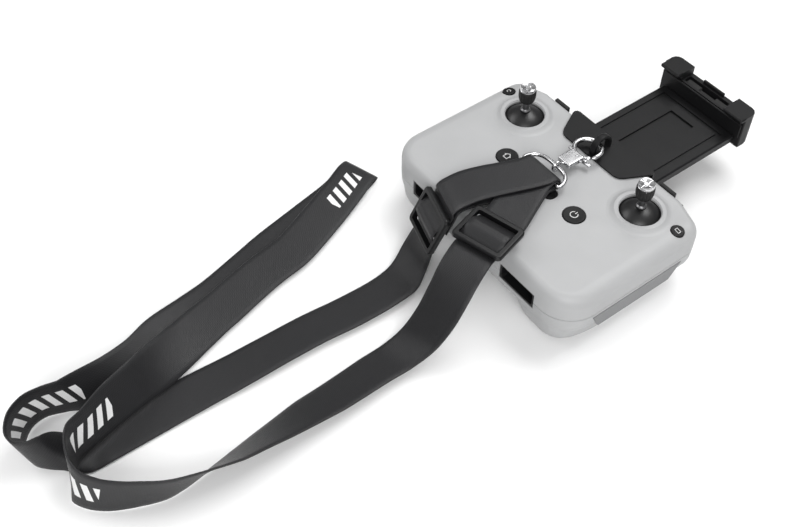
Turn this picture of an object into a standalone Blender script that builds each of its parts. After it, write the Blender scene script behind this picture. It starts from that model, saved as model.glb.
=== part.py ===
"""Handheld radio transmitter with two sticks, a sliding phone holder and a neck strap.

Local frame of the pieces: origin midway between the sticks on the face, +X right, +Y towards
the phone holder, +Z out of the face.  The empty "controller_frame" carries every piece to the
world, where the transmitter stands on Z = 0 with its own box centred on the origin in X and Y.
All lengths are metres and all angles are degrees.
"""

import math

import bmesh
import bpy
from mathutils import Matrix, Vector

# ---------------------------------------------------------------- driving dimensions
GAP = 0.0003  # clearance between pieces that touch

HALF_WIDTH = 0.075  # housing, plan
BOTTOM_Y = -0.077
TOP_Y = 0.0255
SHOULDER_RUN = 0.021
SHOULDER_DROP = 0.007
BOTTOM_CORNER_RADIUS = 0.020
SHOULDER_RADIUS = 0.010
FACE_HEIGHT = 0.042  # face above the floor
PARTING_DEPTH = 0.016
CENTRE_DEPTH = 0.030
WALL = 0.0024
FILLET_SIDE = 0.009
FILLET_BOTTOM = 0.005
FILLET_TOP = 0.0045
FILLET_DROP = 0.007

STICK_X = 0.0465  # stick gimbals
DOME_RADIUS = 0.0144
DOME_TOP = 0.0045
DOME_HALF_ANGLE = 74
DOME_WALL = 0.0012
DOME_CLEARANCE = 0.0005
OPENING_RADIUS = 0.0113
RIM_RADIUS = 0.0145
RIM_HEIGHT = 0.0018
RIM_FOOT_RADIUS = 0.018
STALK_RADIUS = 0.0024
KNOB_BOTTOM_Z = 0.011
KNOB_TOP_Z = 0.0195
CAP_TOP_Z = 0.022
KNOB_RADIUS = 0.005
STUD_RADIUS = 0.0015
GIMBAL_WALL = 0.0016
GIMBAL_HALF_LENGTH = 0.019
GIMBAL_TOP_DEPTH = 0.004
YOKE_LEG_INSET = 0.0008
YOKE_LEG = 0.0019
YOKE_BAR_DEPTH = 0.0066
YOKE_BAR_THICKNESS = 0.0022
YOKE_SWEEP_CLEARANCE = 0.0016
PIN_RADIUS = 0.001
STUB_RADIUS = 0.0014
AXLE_RADIUS = 0.0012

BUTTON_X = 0.0273  # centre buttons and mode switch
BUTTON_Y = -0.0296
BUTTON_RADIUS = 0.0062
BUTTON_PROUD = 0.0004
BUTTON_TRAVEL = 0.0008
FLANGE_EXTRA = 0.0007
FLANGE_THICKNESS = 0.0009
SIDE_BUTTON_INSET = 0.007
SIDE_BUTTON_Y = 0.0065
SIDE_BUTTON_RADIUS = 0.0037
SIDE_BUTTON_TILT = 10
SWITCH_HALF_LENGTH = 0.012
SWITCH_HALF_WIDTH = 0.0042
SWITCH_KNOB_HALF = 0.0042
SWITCH_TRAVEL = 0.004
LIGHTS_Y = -0.0395
LIGHTS_HALF_LENGTH = 0.0075
LIGHTS_HALF_WIDTH = 0.0011

SHOULDER_CONTROL_DEPTH = 0.0225  # dial and shutter button in the shoulders
DIAL_RADIUS = 0.008
DIAL_THICKNESS = 0.005
DIAL_PROUD = 0.0028
SHUTTER_RADIUS = 0.0039
SHUTTER_PROUD = 0.0016
SHUTTER_TRAVEL = 0.001
SHUTTER_SLACK = 0.0006

LIP_TOP_HALF = 0.033  # plate that the phone leans on
LIP_BOTTOM_HALF = 0.0225
LIP_BOTTOM_Y = 0.0065
LIP_THICKNESS = 0.001
LIP_FRONT = 0.0012
LIP_DROP = 0.0058
REST_PAD_INNER_X = 0.037
REST_PAD_LENGTH = 0.011
TRIM_HALF_LENGTH = 0.054
TRIM_TOP_DEPTH = 0.0063
TRIM_HEIGHT = 0.0062
TRIM_THICKNESS = 0.0024
EYELET_Y = 0.015
EYELET_RADIUS = 0.007
EYELET_BAND = 0.0022
EYELET_LEG = 0.0028
EYELET_WIDTH = 0.0040

PHONE_GAP = 0.073  # phone holder
ARM_HALF_WIDTH = 0.028
ARM_TOP_DEPTH = 0.0143
ARM_THICKNESS = 0.0057
ARM_ENGAGEMENT = 0.0175
ARM_GROOVE = 0.0024
ARM_GROOVE_DEPTH = 0.0008
TONGUE_HALF_WIDTH = 0.016
TONGUE_LENGTH = 0.012
CABLE_CHANNEL_HALF = 0.009
JAW_HALF_WIDTH = 0.032
JAW_DEPTH_Y = 0.0102
JAW_BOTTOM_DEPTH = 0.0215
JAW_TOP_Z = 0.001
JAW_BLOCK_INNER_X = 0.0175
JAW_CHANNEL_DEPTH = 0.004
JAW_LIP = 0.0025
JAW_PAD_THICKNESS = 0.001
GUIDE_LENGTH = 0.004
GUIDE_WALL = 0.0011

CELL_RADIUS = 0.0092  # battery cells, one in each grip
CELL_LENGTH = 0.065
CELL_X = 0.0555
CELL_Y = -0.033
CELL_DEPTH = 0.0287
BOARD_TOP_DEPTH = 0.005
BOARD_THICKNESS = 0.0016
PORT_HALF_WIDTH = 0.00445
PORT_HEIGHT = 0.0032
PORT_LENGTH = 0.0073
PORT_DEPTH = 0.0085
SLOT_INNER_X = 0.024  # stick storage slots
SLOT_LENGTH = 0.0265
SLOT_TOP_DEPTH = 0.010
SLOT_HEIGHT = 0.0106
SLOT_REACH = 0.0141
SLOT_WALL = 0.0012
GRIP_PANEL_LOW_Y = -0.057
GRIP_PANEL_HIGH_Y = 0.007
GRIP_PANEL_TOP_DEPTH = 0.0185
GRIP_PANEL_BOTTOM_DEPTH = 0.030
GRIP_PANEL_THICKNESS = 0.0017

SCREW_SITES = ((-0.021, -0.070), (0.021, -0.070), (-0.032, 0.0205), (0.032, 0.0205))
BOSS_RADIUS = 0.0021
BOSS_SPLIT_DEPTH = 0.0195
SCREW_RADIUS = 0.0010
SCREW_HEAD_RADIUS = 0.0018
SCREW_HEAD_HEIGHT = 0.0012
SCREW_LENGTH = 0.012

CLASP_X = -0.0012  # snap clasp, along its swivel axis
CLASP_Z = 0.0056
CLASP_RING_Y = 0.0060
CLASP_RING_RADIUS = 0.0076
CLASP_WIRE = 0.0014
CLASP_BODY_LENGTH = 0.0116
CLASP_BODY_HALF_WIDTH = 0.0047
CLASP_BODY_THICKNESS = 0.003
GATE_PIVOT_X = 0.0014
GATE_PIVOT_Y = -0.0035
GATE_WIRE = 0.0012
D_RING_BAR_Y = -0.027
D_RING_BAR_Z = 0.0052
D_RING_X = -0.0032
D_RING_HALF = 0.0143
D_RING_WIRE = 0.00125

STRAP_WIDTH = 0.0242  # webbing and its two sliders
STRAP_THICKNESS = 0.0012
SLIDER_WIDTH = 0.0306
SLIDER_LENGTH = 0.025
SLIDER_THICKNESS = 0.0034
SLIDER_SIDE_BAR = 0.0029
SLIDER_END_BAR = 0.0030
SLIDER_CORNER = 0.0028
SLIDER_MIDDLE_BAR = 0.0036

ROUND = 32  # sides of a large round piece
SMALL_ROUND = 16

# ---------------------------------------------------------------- values that follow
JAW_INNER_Y = TOP_Y + PHONE_GAP
JAW_OUTER_Y = JAW_INNER_Y + JAW_PAD_THICKNESS + GAP + JAW_DEPTH_Y
FRAME_Y = -(JAW_OUTER_Y + BOTTOM_Y) / 2
PIVOT_Z = DOME_TOP - DOME_RADIUS
GRIP_DEPTH = FACE_HEIGHT
SHOULDER_ANGLE = math.degrees(math.atan2(SHOULDER_DROP, SHOULDER_RUN))
FRAME_HALF_X = DOME_RADIUS + DOME_CLEARANCE + GIMBAL_WALL

# Finish of each kind of surface: colour, roughness, metallic.
FINISHES = {
    "grey_shell": ((0.50, 0.51, 0.52), 0.55, 0.0),
    "dark_grip": ((0.20, 0.20, 0.21), 0.70, 0.0),
    "black_plastic": ((0.030, 0.031, 0.033), 0.45, 0.0),
    "gloss_black": ((0.012, 0.012, 0.013), 0.12, 0.0),
    "black_rubber": ((0.022, 0.022, 0.023), 0.80, 0.0),
    "white_mark": ((0.82, 0.82, 0.82), 0.50, 0.0),
    "bright_metal": ((0.78, 0.78, 0.79), 0.16, 1.0),
    "dark_metal": ((0.16, 0.16, 0.17), 0.30, 1.0),
    "steel": ((0.55, 0.55, 0.56), 0.32, 1.0),
    "circuit_board": ((0.02, 0.16, 0.07), 0.45, 0.0),
    "battery_wrap": ((0.05, 0.16, 0.36), 0.40, 0.0),
    "black_webbing": ((0.025, 0.025, 0.027), 0.85, 0.0),
    "light_lens": ((0.80, 0.82, 0.80), 0.25, 0.0),
}


# ---------------------------------------------------------------- small helpers
def clear_scene():
    for old in list(bpy.data.objects):
        bpy.data.objects.remove(old, do_unlink=True)


def empty(name, parent=None, location=(0, 0, 0), rotation=(0, 0, 0)):
    holder = bpy.data.objects.new(name, None)
    bpy.context.scene.collection.objects.link(holder)
    holder.parent = parent
    holder.location = location
    holder.rotation_euler = [math.radians(angle) for angle in rotation]
    return holder


def painted(name, finish):
    colour, roughness, metallic = FINISHES[finish]
    material = bpy.data.materials.new(name + "_finish")
    material.use_nodes = True
    shader = material.node_tree.nodes["Principled BSDF"]
    shader.inputs["Base Color"].default_value = (*colour, 1)
    shader.inputs["Roughness"].default_value = roughness
    shader.inputs["Metallic"].default_value = metallic
    material.diffuse_color = (*colour, 1)
    return material


def finished(name, mesh_data, finish, parent, smooth=True):
    """One named object from a closed bmesh, with its own material."""
    bmesh.ops.recalc_face_normals(mesh_data, faces=mesh_data.faces)
    mesh = bpy.data.meshes.new(name)
    mesh_data.to_mesh(mesh)
    mesh_data.free()
    if smooth:
        mesh.shade_smooth()
        mesh.set_sharp_from_angle(angle=math.radians(35))
    piece = bpy.data.objects.new(name, mesh)
    bpy.context.scene.collection.objects.link(piece)
    piece.parent = parent
    if finish is None:
        piece.hide_render = True
        piece.display_type = "WIRE"
    else:
        piece.data.materials.append(painted(name, finish))
    return piece


def loft(rings, closed=False):
    """Closed skin through rings of equal point counts; a one-point ring is a pole."""
    skin = bmesh.new()
    rows = [[skin.verts.new(point) for point in ring] for ring in rings]
    pairs = list(zip(rows, rows[1:]))
    if closed:
        pairs.append((rows[-1], rows[0]))
    for lower, upper in pairs:
        count = max(len(lower), len(upper))
        for i in range(count):
            j = (i + 1) % count
            if len(lower) == 1:
                skin.faces.new((lower[0], upper[i], upper[j]))
            elif len(upper) == 1:
                skin.faces.new((lower[i], upper[0], lower[j]))
            else:
                skin.faces.new((lower[i], upper[i], upper[j], lower[j]))
    if not closed:
        for ring in (rows[0], rows[-1]):
            if len(ring) > 2:
                skin.faces.new(ring)
    return skin


def turned(profile, sides=ROUND, closed=False):
    """Body of revolution about Z from (radius, height) points; radius 0 makes a pole."""
    rings = []
    for radius, height in profile:
        if radius <= 0:
            rings.append([(0, 0, height)])
            continue
        turns = [2 * math.pi * i / sides for i in range(sides)]
        rings.append([(radius * math.cos(t), radius * math.sin(t), height) for t in turns])
    return loft(rings, closed)


def box_mesh(low, high, radius=0.0, edges="all", segments=1):
    """Box between two corners, with all or only its vertical edges rounded."""
    skin = bmesh.new()
    bmesh.ops.create_cube(skin, size=1)
    for vertex in skin.verts:
        for axis in range(3):
            middle = (low[axis] + high[axis]) / 2
            vertex.co[axis] = middle + vertex.co[axis] * (high[axis] - low[axis])
    if radius > 0:
        chosen = list(skin.edges)
        if edges == "upright":
            chosen = [e for e in chosen if abs(e.verts[0].co.z - e.verts[1].co.z) > 1e-9]
        bmesh.ops.bevel(
            skin, geom=chosen, offset=radius, segments=segments, profile=0.5, affect="EDGES"
        )
    return skin


def rounded_outline(corners, inset=0.0, steps=3, least=0.0006):
    """Plan outline of a convex polygon of (x, y, radius, edge inset share) corners.

    The edge that starts at each corner moves inwards by inset times its own share.
    """
    count = len(corners)
    lines = []
    for i, (x, y, _, share) in enumerate(corners):
        nx, ny = corners[(i + 1) % count][:2]
        along = Vector((nx - x, ny - y)).normalized()
        inwards = Vector((-along.y, along.x))
        lines.append((Vector((x, y)) + inwards * inset * share, along))
    points = []
    for i, (_, _, radius, _) in enumerate(corners):
        (before, d1), (after, d2) = lines[i - 1], lines[i]
        cross = d1.x * d2.y - d1.y * d2.x
        between = after - before
        reach = (between.x * d2.y - between.y * d2.x) / cross
        corner = before + d1 * reach
        turn = math.atan2(cross, d1.dot(d2))
        fillet = max(radius - inset, least)
        start = corner - d1 * fillet * math.tan(turn / 2)
        centre = start + Vector((-d1.y, d1.x)) * fillet
        spoke = start - centre
        for k in range(steps + 1):
            angle = turn * k / steps
            c, s = math.cos(angle), math.sin(angle)
            points.append((centre.x + spoke.x * c - spoke.y * s, centre.y + spoke.x * s + spoke.y * c))
    return points


def housing_outline(inset, bottom=1.0, top=1.0):
    """Plan of the housing; bottom and top scale how far those two edges come in."""
    shoulder_x = HALF_WIDTH - SHOULDER_RUN
    shoulder_y = TOP_Y - SHOULDER_DROP
    corners = [
        (-HALF_WIDTH, BOTTOM_Y, BOTTOM_CORNER_RADIUS, bottom),
        (HALF_WIDTH, BOTTOM_Y, BOTTOM_CORNER_RADIUS, 1.0),
        (HALF_WIDTH, shoulder_y, SHOULDER_RADIUS, top),
        (shoulder_x, TOP_Y, SHOULDER_RADIUS, top),
        (-shoulder_x, TOP_Y, SHOULDER_RADIUS, top),
        (-HALF_WIDTH, shoulder_y, SHOULDER_RADIUS, 1.0),
    ]
    return rounded_outline(corners, inset, steps=4)


def at_height(outline, z):
    return [(x, y, z) for x, y in outline]


def prism_mesh(outline, z_low, z_high):
    return loft([at_height(outline, z_low), at_height(outline, z_high)])


def wire_mesh(path, radius, sides=8, closed=False):
    """Round wire along a path, with flat ends unless the path is closed."""
    count = len(path)
    rings = []
    normal = None
    for i, point in enumerate(path):
        if closed:
            ahead, behind = path[(i + 1) % count], path[i - 1]
        else:
            ahead, behind = path[min(i + 1, count - 1)], path[max(i - 1, 0)]
        along = (Vector(ahead) - Vector(behind)).normalized()
        if normal is None:
            normal = along.orthogonal().normalized()
        normal = (normal - along * normal.dot(along)).normalized()
        across = along.cross(normal)
        turns = [2 * math.pi * k / sides for k in range(sides)]
        rings.append([
            Vector(point) + radius * (math.cos(t) * normal + math.sin(t) * across) for t in turns
        ])
    return loft(rings, closed)


def arc(radius, start, end, steps, centre=(0, 0), z=0.0):
    """Points on a circle in a level plane, from one angle to another."""
    points = []
    for i in range(steps + 1):
        angle = math.radians(start + (end - start) * i / steps)
        x = centre[0] + radius * math.cos(angle)
        y = centre[1] + radius * math.sin(angle)
        points.append((x, y, z))
    return points


def moved(skin, matrix):
    bmesh.ops.transform(skin, matrix=matrix, verts=skin.verts)
    return skin


def cylinder_mesh(radius, start, end, sides=SMALL_ROUND):
    """Cylinder between two points."""
    start, end = Vector(start), Vector(end)
    skin = turned([(radius, 0), (radius, (end - start).length)], sides)
    turn = Vector((0, 0, 1)).rotation_difference(end - start).to_matrix().to_4x4()
    return moved(skin, Matrix.Translation(start) @ turn)


def combine(target, mesh_data, operation, parent, label):
    """Boolean of a target with a hidden helper made from a bmesh."""
    helper = finished(f"helper_{target.name}_{label}", mesh_data, None, parent, smooth=False)
    step = target.modifiers.new(label, "BOOLEAN")
    step.operation = operation
    step.object = helper
    step.solver = "EXACT"
    return helper


def cut(target, mesh_data, parent, label):
    return combine(target, mesh_data, "DIFFERENCE", parent, label)


def join(target, mesh_data, parent, label):
    return combine(target, mesh_data, "UNION", parent, label)


# ---------------------------------------------------------------- housing
def fillet_rings(depth_into, share_bottom, share_top, to_z):
    """Rings of the front shell from its lower edge up over the face fillet."""
    rings = [at_height(housing_outline(depth_into), to_z)]
    steps = 4
    for k in range(steps + 1):
        t = math.radians(90 * (steps - k) / steps)
        level = -FILLET_DROP * (1 - math.cos(t)) - depth_into * math.cos(t)
        side = FILLET_SIDE * (1 - math.sin(t))
        inset = side + depth_into * math.sin(t)
        bottom = (side * share_bottom + depth_into * math.sin(t)) / max(inset, 1e-9)
        top = (side * share_top + depth_into * math.sin(t)) / max(inset, 1e-9)
        rings.append(at_height(housing_outline(inset, bottom, top), level))
    return rings


def front_shell(frame):
    bottom_share = FILLET_BOTTOM / FILLET_SIDE
    top_share = FILLET_TOP / FILLET_SIDE
    outer = fillet_rings(0.0, bottom_share, top_share, -PARTING_DEPTH)
    shell = finished("front_shell", loft(outer), "grey_shell", frame)
    inner = fillet_rings(WALL, bottom_share, top_share, -PARTING_DEPTH - 0.002)
    cut(shell, loft(inner), frame, "cavity")
    for side, name in ((-1, "left"), (1, "right")):
        rim = turned([
            (0, RIM_HEIGHT),
            (RIM_RADIUS - 0.0006, RIM_HEIGHT),
            (RIM_RADIUS, RIM_HEIGHT - 0.0005),
            (RIM_RADIUS + 0.0012, 0.0004),
            (RIM_FOOT_RADIUS, 0.00002),
            (RIM_FOOT_RADIUS, -WALL / 2),
            (0, -WALL / 2),
        ])
        place = Matrix.Translation((side * STICK_X, 0, 0))
        join(shell, moved(rim, place), frame, name + "_rim")
        mouth = turned([
            (0, 0.01), (OPENING_RADIUS, 0.01), (OPENING_RADIUS, -0.01), (0, -0.01),
        ])
        # Half a facet's turn keeps the mouth's edges off those of the rim and the seat.
        half_facet = Matrix.Rotation(math.pi / ROUND, 4, "Z")
        cut(shell, moved(mouth, place @ half_facet), frame, name + "_mouth")
        ball_radius = DOME_RADIUS + DOME_CLEARANCE
        ball = turned([
            (ball_radius * math.sin(math.radians(a)), ball_radius * math.cos(math.radians(a)))
            for a in (0, 12, 24, 36, 48, 60, 72, 84, 96, 120, 150, 180)
        ])
        low = Matrix.Translation((side * STICK_X, 0, PIVOT_Z))
        cut(shell, moved(ball, low), frame, name + "_ball_seat")
        reach = BUTTON_RADIUS + GAP
        centre = (side * BUTTON_X, BUTTON_Y)
        hole = cylinder_mesh(reach, (*centre, -0.006), (*centre, 0.003), ROUND)
        cut(shell, hole, frame, name + "_button_hole")
        pivot = side_button_matrix(side)
        hole = cylinder_mesh(SIDE_BUTTON_RADIUS + GAP, (0, 0, -0.006), (0, 0, 0.003), ROUND)
        cut(shell, moved(hole, pivot), frame, name + "_side_button_hole")
        pocket = cylinder_mesh(
            SIDE_BUTTON_RADIUS + 0.0004 + GAP, (0, 0, -0.008), (0, 0, -WALL - GAP), ROUND
        )
        cut(shell, moved(pocket, pivot), frame, name + "_side_button_pocket")
        low_x = side * REST_PAD_INNER_X
        high_x = side * (REST_PAD_INNER_X + REST_PAD_LENGTH)
        notch = box_mesh(
            (min(low_x, high_x) - GAP, TOP_Y - 0.0006 - GAP, -LIP_DROP - GAP * 2),
            (max(low_x, high_x) + GAP, TOP_Y + 0.004, 0.002),
        )
        cut(shell, notch, frame, name + "_pad_notch")
    slot = box_mesh(
        (-SWITCH_HALF_LENGTH - GAP, BUTTON_Y - SWITCH_HALF_WIDTH - GAP, -0.006),
        (SWITCH_HALF_LENGTH + GAP, BUTTON_Y + SWITCH_HALF_WIDTH + GAP, 0.003),
        SWITCH_HALF_WIDTH * 0.9, "upright", 3,
    )
    cut(shell, slot, frame, "switch_slot")
    lights = box_mesh(
        (-LIGHTS_HALF_LENGTH - GAP, LIGHTS_Y - LIGHTS_HALF_WIDTH - GAP, -0.006),
        (LIGHTS_HALF_LENGTH + GAP, LIGHTS_Y + LIGHTS_HALF_WIDTH + GAP, 0.003),
    )
    cut(shell, lights, frame, "lights_slot")
    port = port_box(GAP, BOTTOM_Y - 0.003)
    cut(shell, port, frame, "port_hole")
    for i, (x, y) in enumerate(SCREW_SITES):
        boss = cylinder_mesh(BOSS_RADIUS, (x, y, -WALL / 2), (x, y, -BOSS_SPLIT_DEPTH + GAP))
        join(shell, boss, frame, f"boss_{i}")
        bore = cylinder_mesh(SCREW_RADIUS + GAP, (x, y, -0.013), (x, y, -BOSS_SPLIT_DEPTH - 0.001))
        cut(shell, bore, frame, f"boss_bore_{i}")
    cut_shared_openings(shell, frame)
    return shell


def cut_shared_openings(shell, frame):
    """The holder's mouth and the stick slots, which both shells leave open."""
    mouth = box_mesh(
        (-ARM_HALF_WIDTH - GAP, TOP_Y - 0.006, -ARM_TOP_DEPTH - ARM_THICKNESS - GAP),
        (ARM_HALF_WIDTH + GAP, TOP_Y + 0.004, -ARM_TOP_DEPTH + GAP),
    )
    cut(shell, mouth, frame, "holder_mouth")
    for side, name in ((-1, "left"), (1, "right")):
        low, high = slot_box(side, GAP)
        cut(shell, box_mesh(low, (high[0], high[1], high[2])), frame, name + "_slot_hole")


def slot_box(side, grow):
    """Corners of a storage slot's sleeve, grown by a clearance and open through the wall."""
    xs = sorted((side * SLOT_INNER_X, side * (SLOT_INNER_X + SLOT_LENGTH)))
    front = BOTTOM_Y - 0.003 if grow else BOTTOM_Y + 0.0005
    low = (xs[0] - grow, front, -SLOT_TOP_DEPTH - SLOT_HEIGHT - grow)
    high = (xs[1] + grow, BOTTOM_Y + 0.0005 + SLOT_REACH + grow, -SLOT_TOP_DEPTH + grow)
    return low, high


def port_box(grow, front):
    low = (-PORT_HALF_WIDTH - grow, front, -PORT_DEPTH - PORT_HEIGHT / 2 - grow)
    high = (
        PORT_HALF_WIDTH + grow, BOTTOM_Y + 0.0008 + PORT_LENGTH + grow,
        -PORT_DEPTH + PORT_HEIGHT / 2 + grow,
    )
    return box_mesh(low, high)


def grip_ring(side, depth_into, row):
    """One rounded ring of a grip bulge, at a share of its depth."""
    depth, inner_x, outer_in, low_in, high_y = row
    x_low = inner_x + depth_into
    x_high = HALF_WIDTH - outer_in - depth_into
    y_low = BOTTOM_Y + low_in + depth_into
    y_high = high_y - depth_into
    cx, cy = (x_low + x_high) / 2, (y_low + y_high) / 2
    hx, hy = (x_high - x_low) / 2, (y_high - y_low) / 2
    power = 2 / 3.4
    points = []
    for i in range(28):
        t = 2 * math.pi * (i + 0.5) / 28
        c, s = math.cos(t), math.sin(t)
        x = cx + hx * math.copysign(abs(c) ** power, c)
        y = cy + hy * math.copysign(abs(s) ** power, s)
        points.append((side * x, y, -depth))
    return points


def grip_mesh(side, depth_into):
    """Grip bulge on the back, running from under the stick to the lower corner."""
    rows = [
        # depth, inner x, outer side in, lower end in, upper end
        (PARTING_DEPTH + 0.004, 0.0245, 0.0006, 0.0010, 0.0180),
        (GRIP_DEPTH - 0.014, 0.0260, 0.0010, 0.0016, 0.0160),
        (GRIP_DEPTH - 0.008, 0.0285, 0.0024, 0.0026, 0.0125),
        (GRIP_DEPTH - 0.0035, 0.0320, 0.0052, 0.0050, 0.0080),
        (GRIP_DEPTH - 0.001, 0.0365, 0.0088, 0.0080, 0.0035),
        (GRIP_DEPTH, 0.0415, 0.0135, 0.0125, -0.0020),
    ]
    rings = [grip_ring(side, depth_into, row) for row in rows]
    if depth_into:
        rings = [[(x, y, z + depth_into) for x, y, z in ring] for ring in rings]
        first = [(x, y, -PARTING_DEPTH + 0.001) for x, y, z in rings[0]]
        rings.insert(0, first)
    return loft(rings)


def rear_rings(depth_into):
    rows = [
        (0.0, -PARTING_DEPTH - GAP),
        (0.0003, -CENTRE_DEPTH + 0.008),
        (0.0025, -CENTRE_DEPTH + 0.0025),
        (0.0060, -CENTRE_DEPTH),
    ]
    rings = [
        at_height(housing_outline(inset + depth_into), z + (depth_into if z < -0.02 else 0.0))
        for inset, z in rows
    ]
    if depth_into:
        rings.insert(0, at_height(housing_outline(depth_into), -PARTING_DEPTH + 0.001))
    return rings


def rear_shell(frame):
    shell = finished("rear_shell", loft(rear_rings(0.0)), "grey_shell", frame)
    for side, name in ((-1, "left"), (1, "right")):
        join(shell, grip_mesh(side, 0.0), frame, name + "_grip")
    cut(shell, loft(rear_rings(WALL)), frame, "cavity")
    for side, name in ((-1, "left"), (1, "right")):
        cut(shell, grip_mesh(side, WALL), frame, name + "_grip_cavity")
        cut(shell, grip_panel_mesh(side, GAP), frame, name + "_panel_seat")
    for i, (x, y) in enumerate(SCREW_SITES):
        pillar = cylinder_mesh(
            BOSS_RADIUS, (x, y, -BOSS_SPLIT_DEPTH), (x, y, -CENTRE_DEPTH + 0.001)
        )
        join(shell, pillar, frame, f"pillar_{i}")
        bore = cylinder_mesh(
            SCREW_RADIUS + GAP, (x, y, -BOSS_SPLIT_DEPTH + 0.001), (x, y, -CENTRE_DEPTH - 0.002)
        )
        cut(shell, bore, frame, f"pillar_bore_{i}")
        seat = cylinder_mesh(
            SCREW_HEAD_RADIUS + GAP,
            (x, y, -CENTRE_DEPTH + SCREW_HEAD_HEIGHT + GAP), (x, y, -CENTRE_DEPTH - 0.002),
        )
        cut(shell, seat, frame, f"head_seat_{i}")
    cut_shared_openings(shell, frame)
    wheel = cylinder_mesh(
        DIAL_RADIUS + GAP + 0.0002, (0, 0, -DIAL_THICKNESS / 2 - GAP),
        (0, 0, DIAL_THICKNESS / 2 + GAP), ROUND,
    )
    cut(shell, moved(wheel, Matrix.Translation(dial_centre())), frame, "dial_window")
    hole = cylinder_mesh(SHUTTER_RADIUS + GAP, (0, 0, -0.0065), (0, 0, 0.004), ROUND)
    cut(shell, moved(hole, shutter_matrix()), frame, "shutter_hole")
    under = WALL + SHUTTER_SLACK
    reach = under + FLANGE_THICKNESS + SHUTTER_TRAVEL + GAP
    pocket = cylinder_mesh(
        SHUTTER_RADIUS + FLANGE_EXTRA + GAP, (0, 0, -reach), (0, 0, -under + GAP), ROUND
    )
    cut(shell, moved(pocket, shutter_matrix()), frame, "shutter_pocket")
    bore = cylinder_mesh(AXLE_RADIUS + GAP, (0, 0, -0.0034 - GAP), (0, 0, 0.004))
    cut(shell, moved(bore, Matrix.Translation(dial_centre())), frame, "dial_axle_bore")
    return shell


def grip_panel_mesh(side, grow):
    """Soft insert along the lower side, with raked ends."""
    rake = 0.006
    top, bottom = -GRIP_PANEL_TOP_DEPTH + grow, -GRIP_PANEL_BOTTOM_DEPTH - grow
    low, high = GRIP_PANEL_LOW_Y - grow, GRIP_PANEL_HIGH_Y + grow
    outline = [(low, top), (high, top), (high - rake, bottom), (low + rake, bottom)]
    inner = HALF_WIDTH + 0.0003 - GRIP_PANEL_THICKNESS - grow
    outer_top = HALF_WIDTH + 0.0003 + (0.003 if grow else 0)
    outer_bottom = HALF_WIDTH - 0.0004 + (0.003 if grow else 0)
    outer = [outer_top, outer_top, outer_bottom, outer_bottom]
    rings = [
        [(side * inner, y, z) for y, z in outline],
        [(side * x, y, z) for x, (y, z) in zip(outer, outline)],
    ]
    return loft(rings)


def grip_panels(frame):
    for side, name in ((-1, "left"), (1, "right")):
        finished(name + "_grip_panel", grip_panel_mesh(side, 0.0), "dark_grip", frame)


def rear_screws(frame):
    for i, (x, y) in enumerate(SCREW_SITES):
        base = -CENTRE_DEPTH + 0.0002
        profile = [
            (0, SCREW_LENGTH),
            (SCREW_RADIUS, SCREW_LENGTH),
            (SCREW_RADIUS, SCREW_HEAD_HEIGHT),
            (SCREW_HEAD_RADIUS, SCREW_HEAD_HEIGHT - 0.0003),
            (SCREW_HEAD_RADIUS, 0.0002),
            (SCREW_HEAD_RADIUS - 0.0003, 0),
            (0.0007, 0),
            (0.0007, 0.0007),
            (0, 0.0007),
        ]
        screw = finished(f"rear_screw_{i + 1}", turned(profile, 12), "dark_metal", frame)
        screw.location = (x, y, base)


# ---------------------------------------------------------------- face fittings
def phone_lip(frame):
    front_y = TOP_Y + GAP + LIP_FRONT
    corners = [
        (-LIP_BOTTOM_HALF, LIP_BOTTOM_Y, 0.0065, 1),
        (LIP_BOTTOM_HALF, LIP_BOTTOM_Y, 0.0065, 1),
        (LIP_TOP_HALF, front_y, 0.0025, 1),
        (-LIP_TOP_HALF, front_y, 0.0025, 1),
    ]
    outline = rounded_outline(corners)
    plate = prism_mesh(outline, GAP, GAP + LIP_THICKNESS)
    lip = finished("phone_lip", plate, "black_plastic", frame)
    curtain = box_mesh(
        (-LIP_TOP_HALF + 0.002, TOP_Y + GAP, -LIP_DROP),
        (LIP_TOP_HALF - 0.002, front_y - 0.00005, GAP + LIP_THICKNESS / 2),
    )
    join(lip, curtain, frame, "curtain")


def rest_pads(frame):
    for side, name in ((-1, "left"), (1, "right")):
        xs = sorted((side * REST_PAD_INNER_X, side * (REST_PAD_INNER_X + REST_PAD_LENGTH)))
        skin = box_mesh(
            (xs[0], TOP_Y - 0.0006, -LIP_DROP), (xs[1], TOP_Y + 0.0019, -0.0016), 0.0005
        )
        finished(name + "_phone_rest_pad", skin, "black_rubber", frame)


def top_trim(frame):
    skin = box_mesh(
        (-TRIM_HALF_LENGTH, TOP_Y + GAP, -TRIM_TOP_DEPTH - TRIM_HEIGHT),
        (TRIM_HALF_LENGTH, TOP_Y + GAP + TRIM_THICKNESS, -TRIM_TOP_DEPTH), 0.0008,
    )
    finished("top_trim", skin, "black_plastic", frame)


def lanyard_eyelet(frame):
    base = GAP + LIP_THICKNESS + GAP
    spring = base + EYELET_LEG
    outer, inner = EYELET_RADIUS, EYELET_RADIUS - EYELET_BAND
    steps = 10
    turns = [math.pi * i / steps for i in range(steps + 1)]
    outline = [(EYELET_Y + outer, base)]
    outline += [(EYELET_Y + outer * math.cos(t), spring + outer * math.sin(t)) for t in turns]
    outline += [(EYELET_Y - outer, base), (EYELET_Y - inner, base)]
    outline += [
        (EYELET_Y - inner * math.cos(t), spring + inner * math.sin(t)) for t in turns
    ]
    outline += [(EYELET_Y + inner, base)]
    half = EYELET_WIDTH / 2
    skin = loft([[(x, y, z) for y, z in outline] for x in (-half, half)])
    finished("lanyard_eyelet", skin, "black_plastic", frame)


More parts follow.
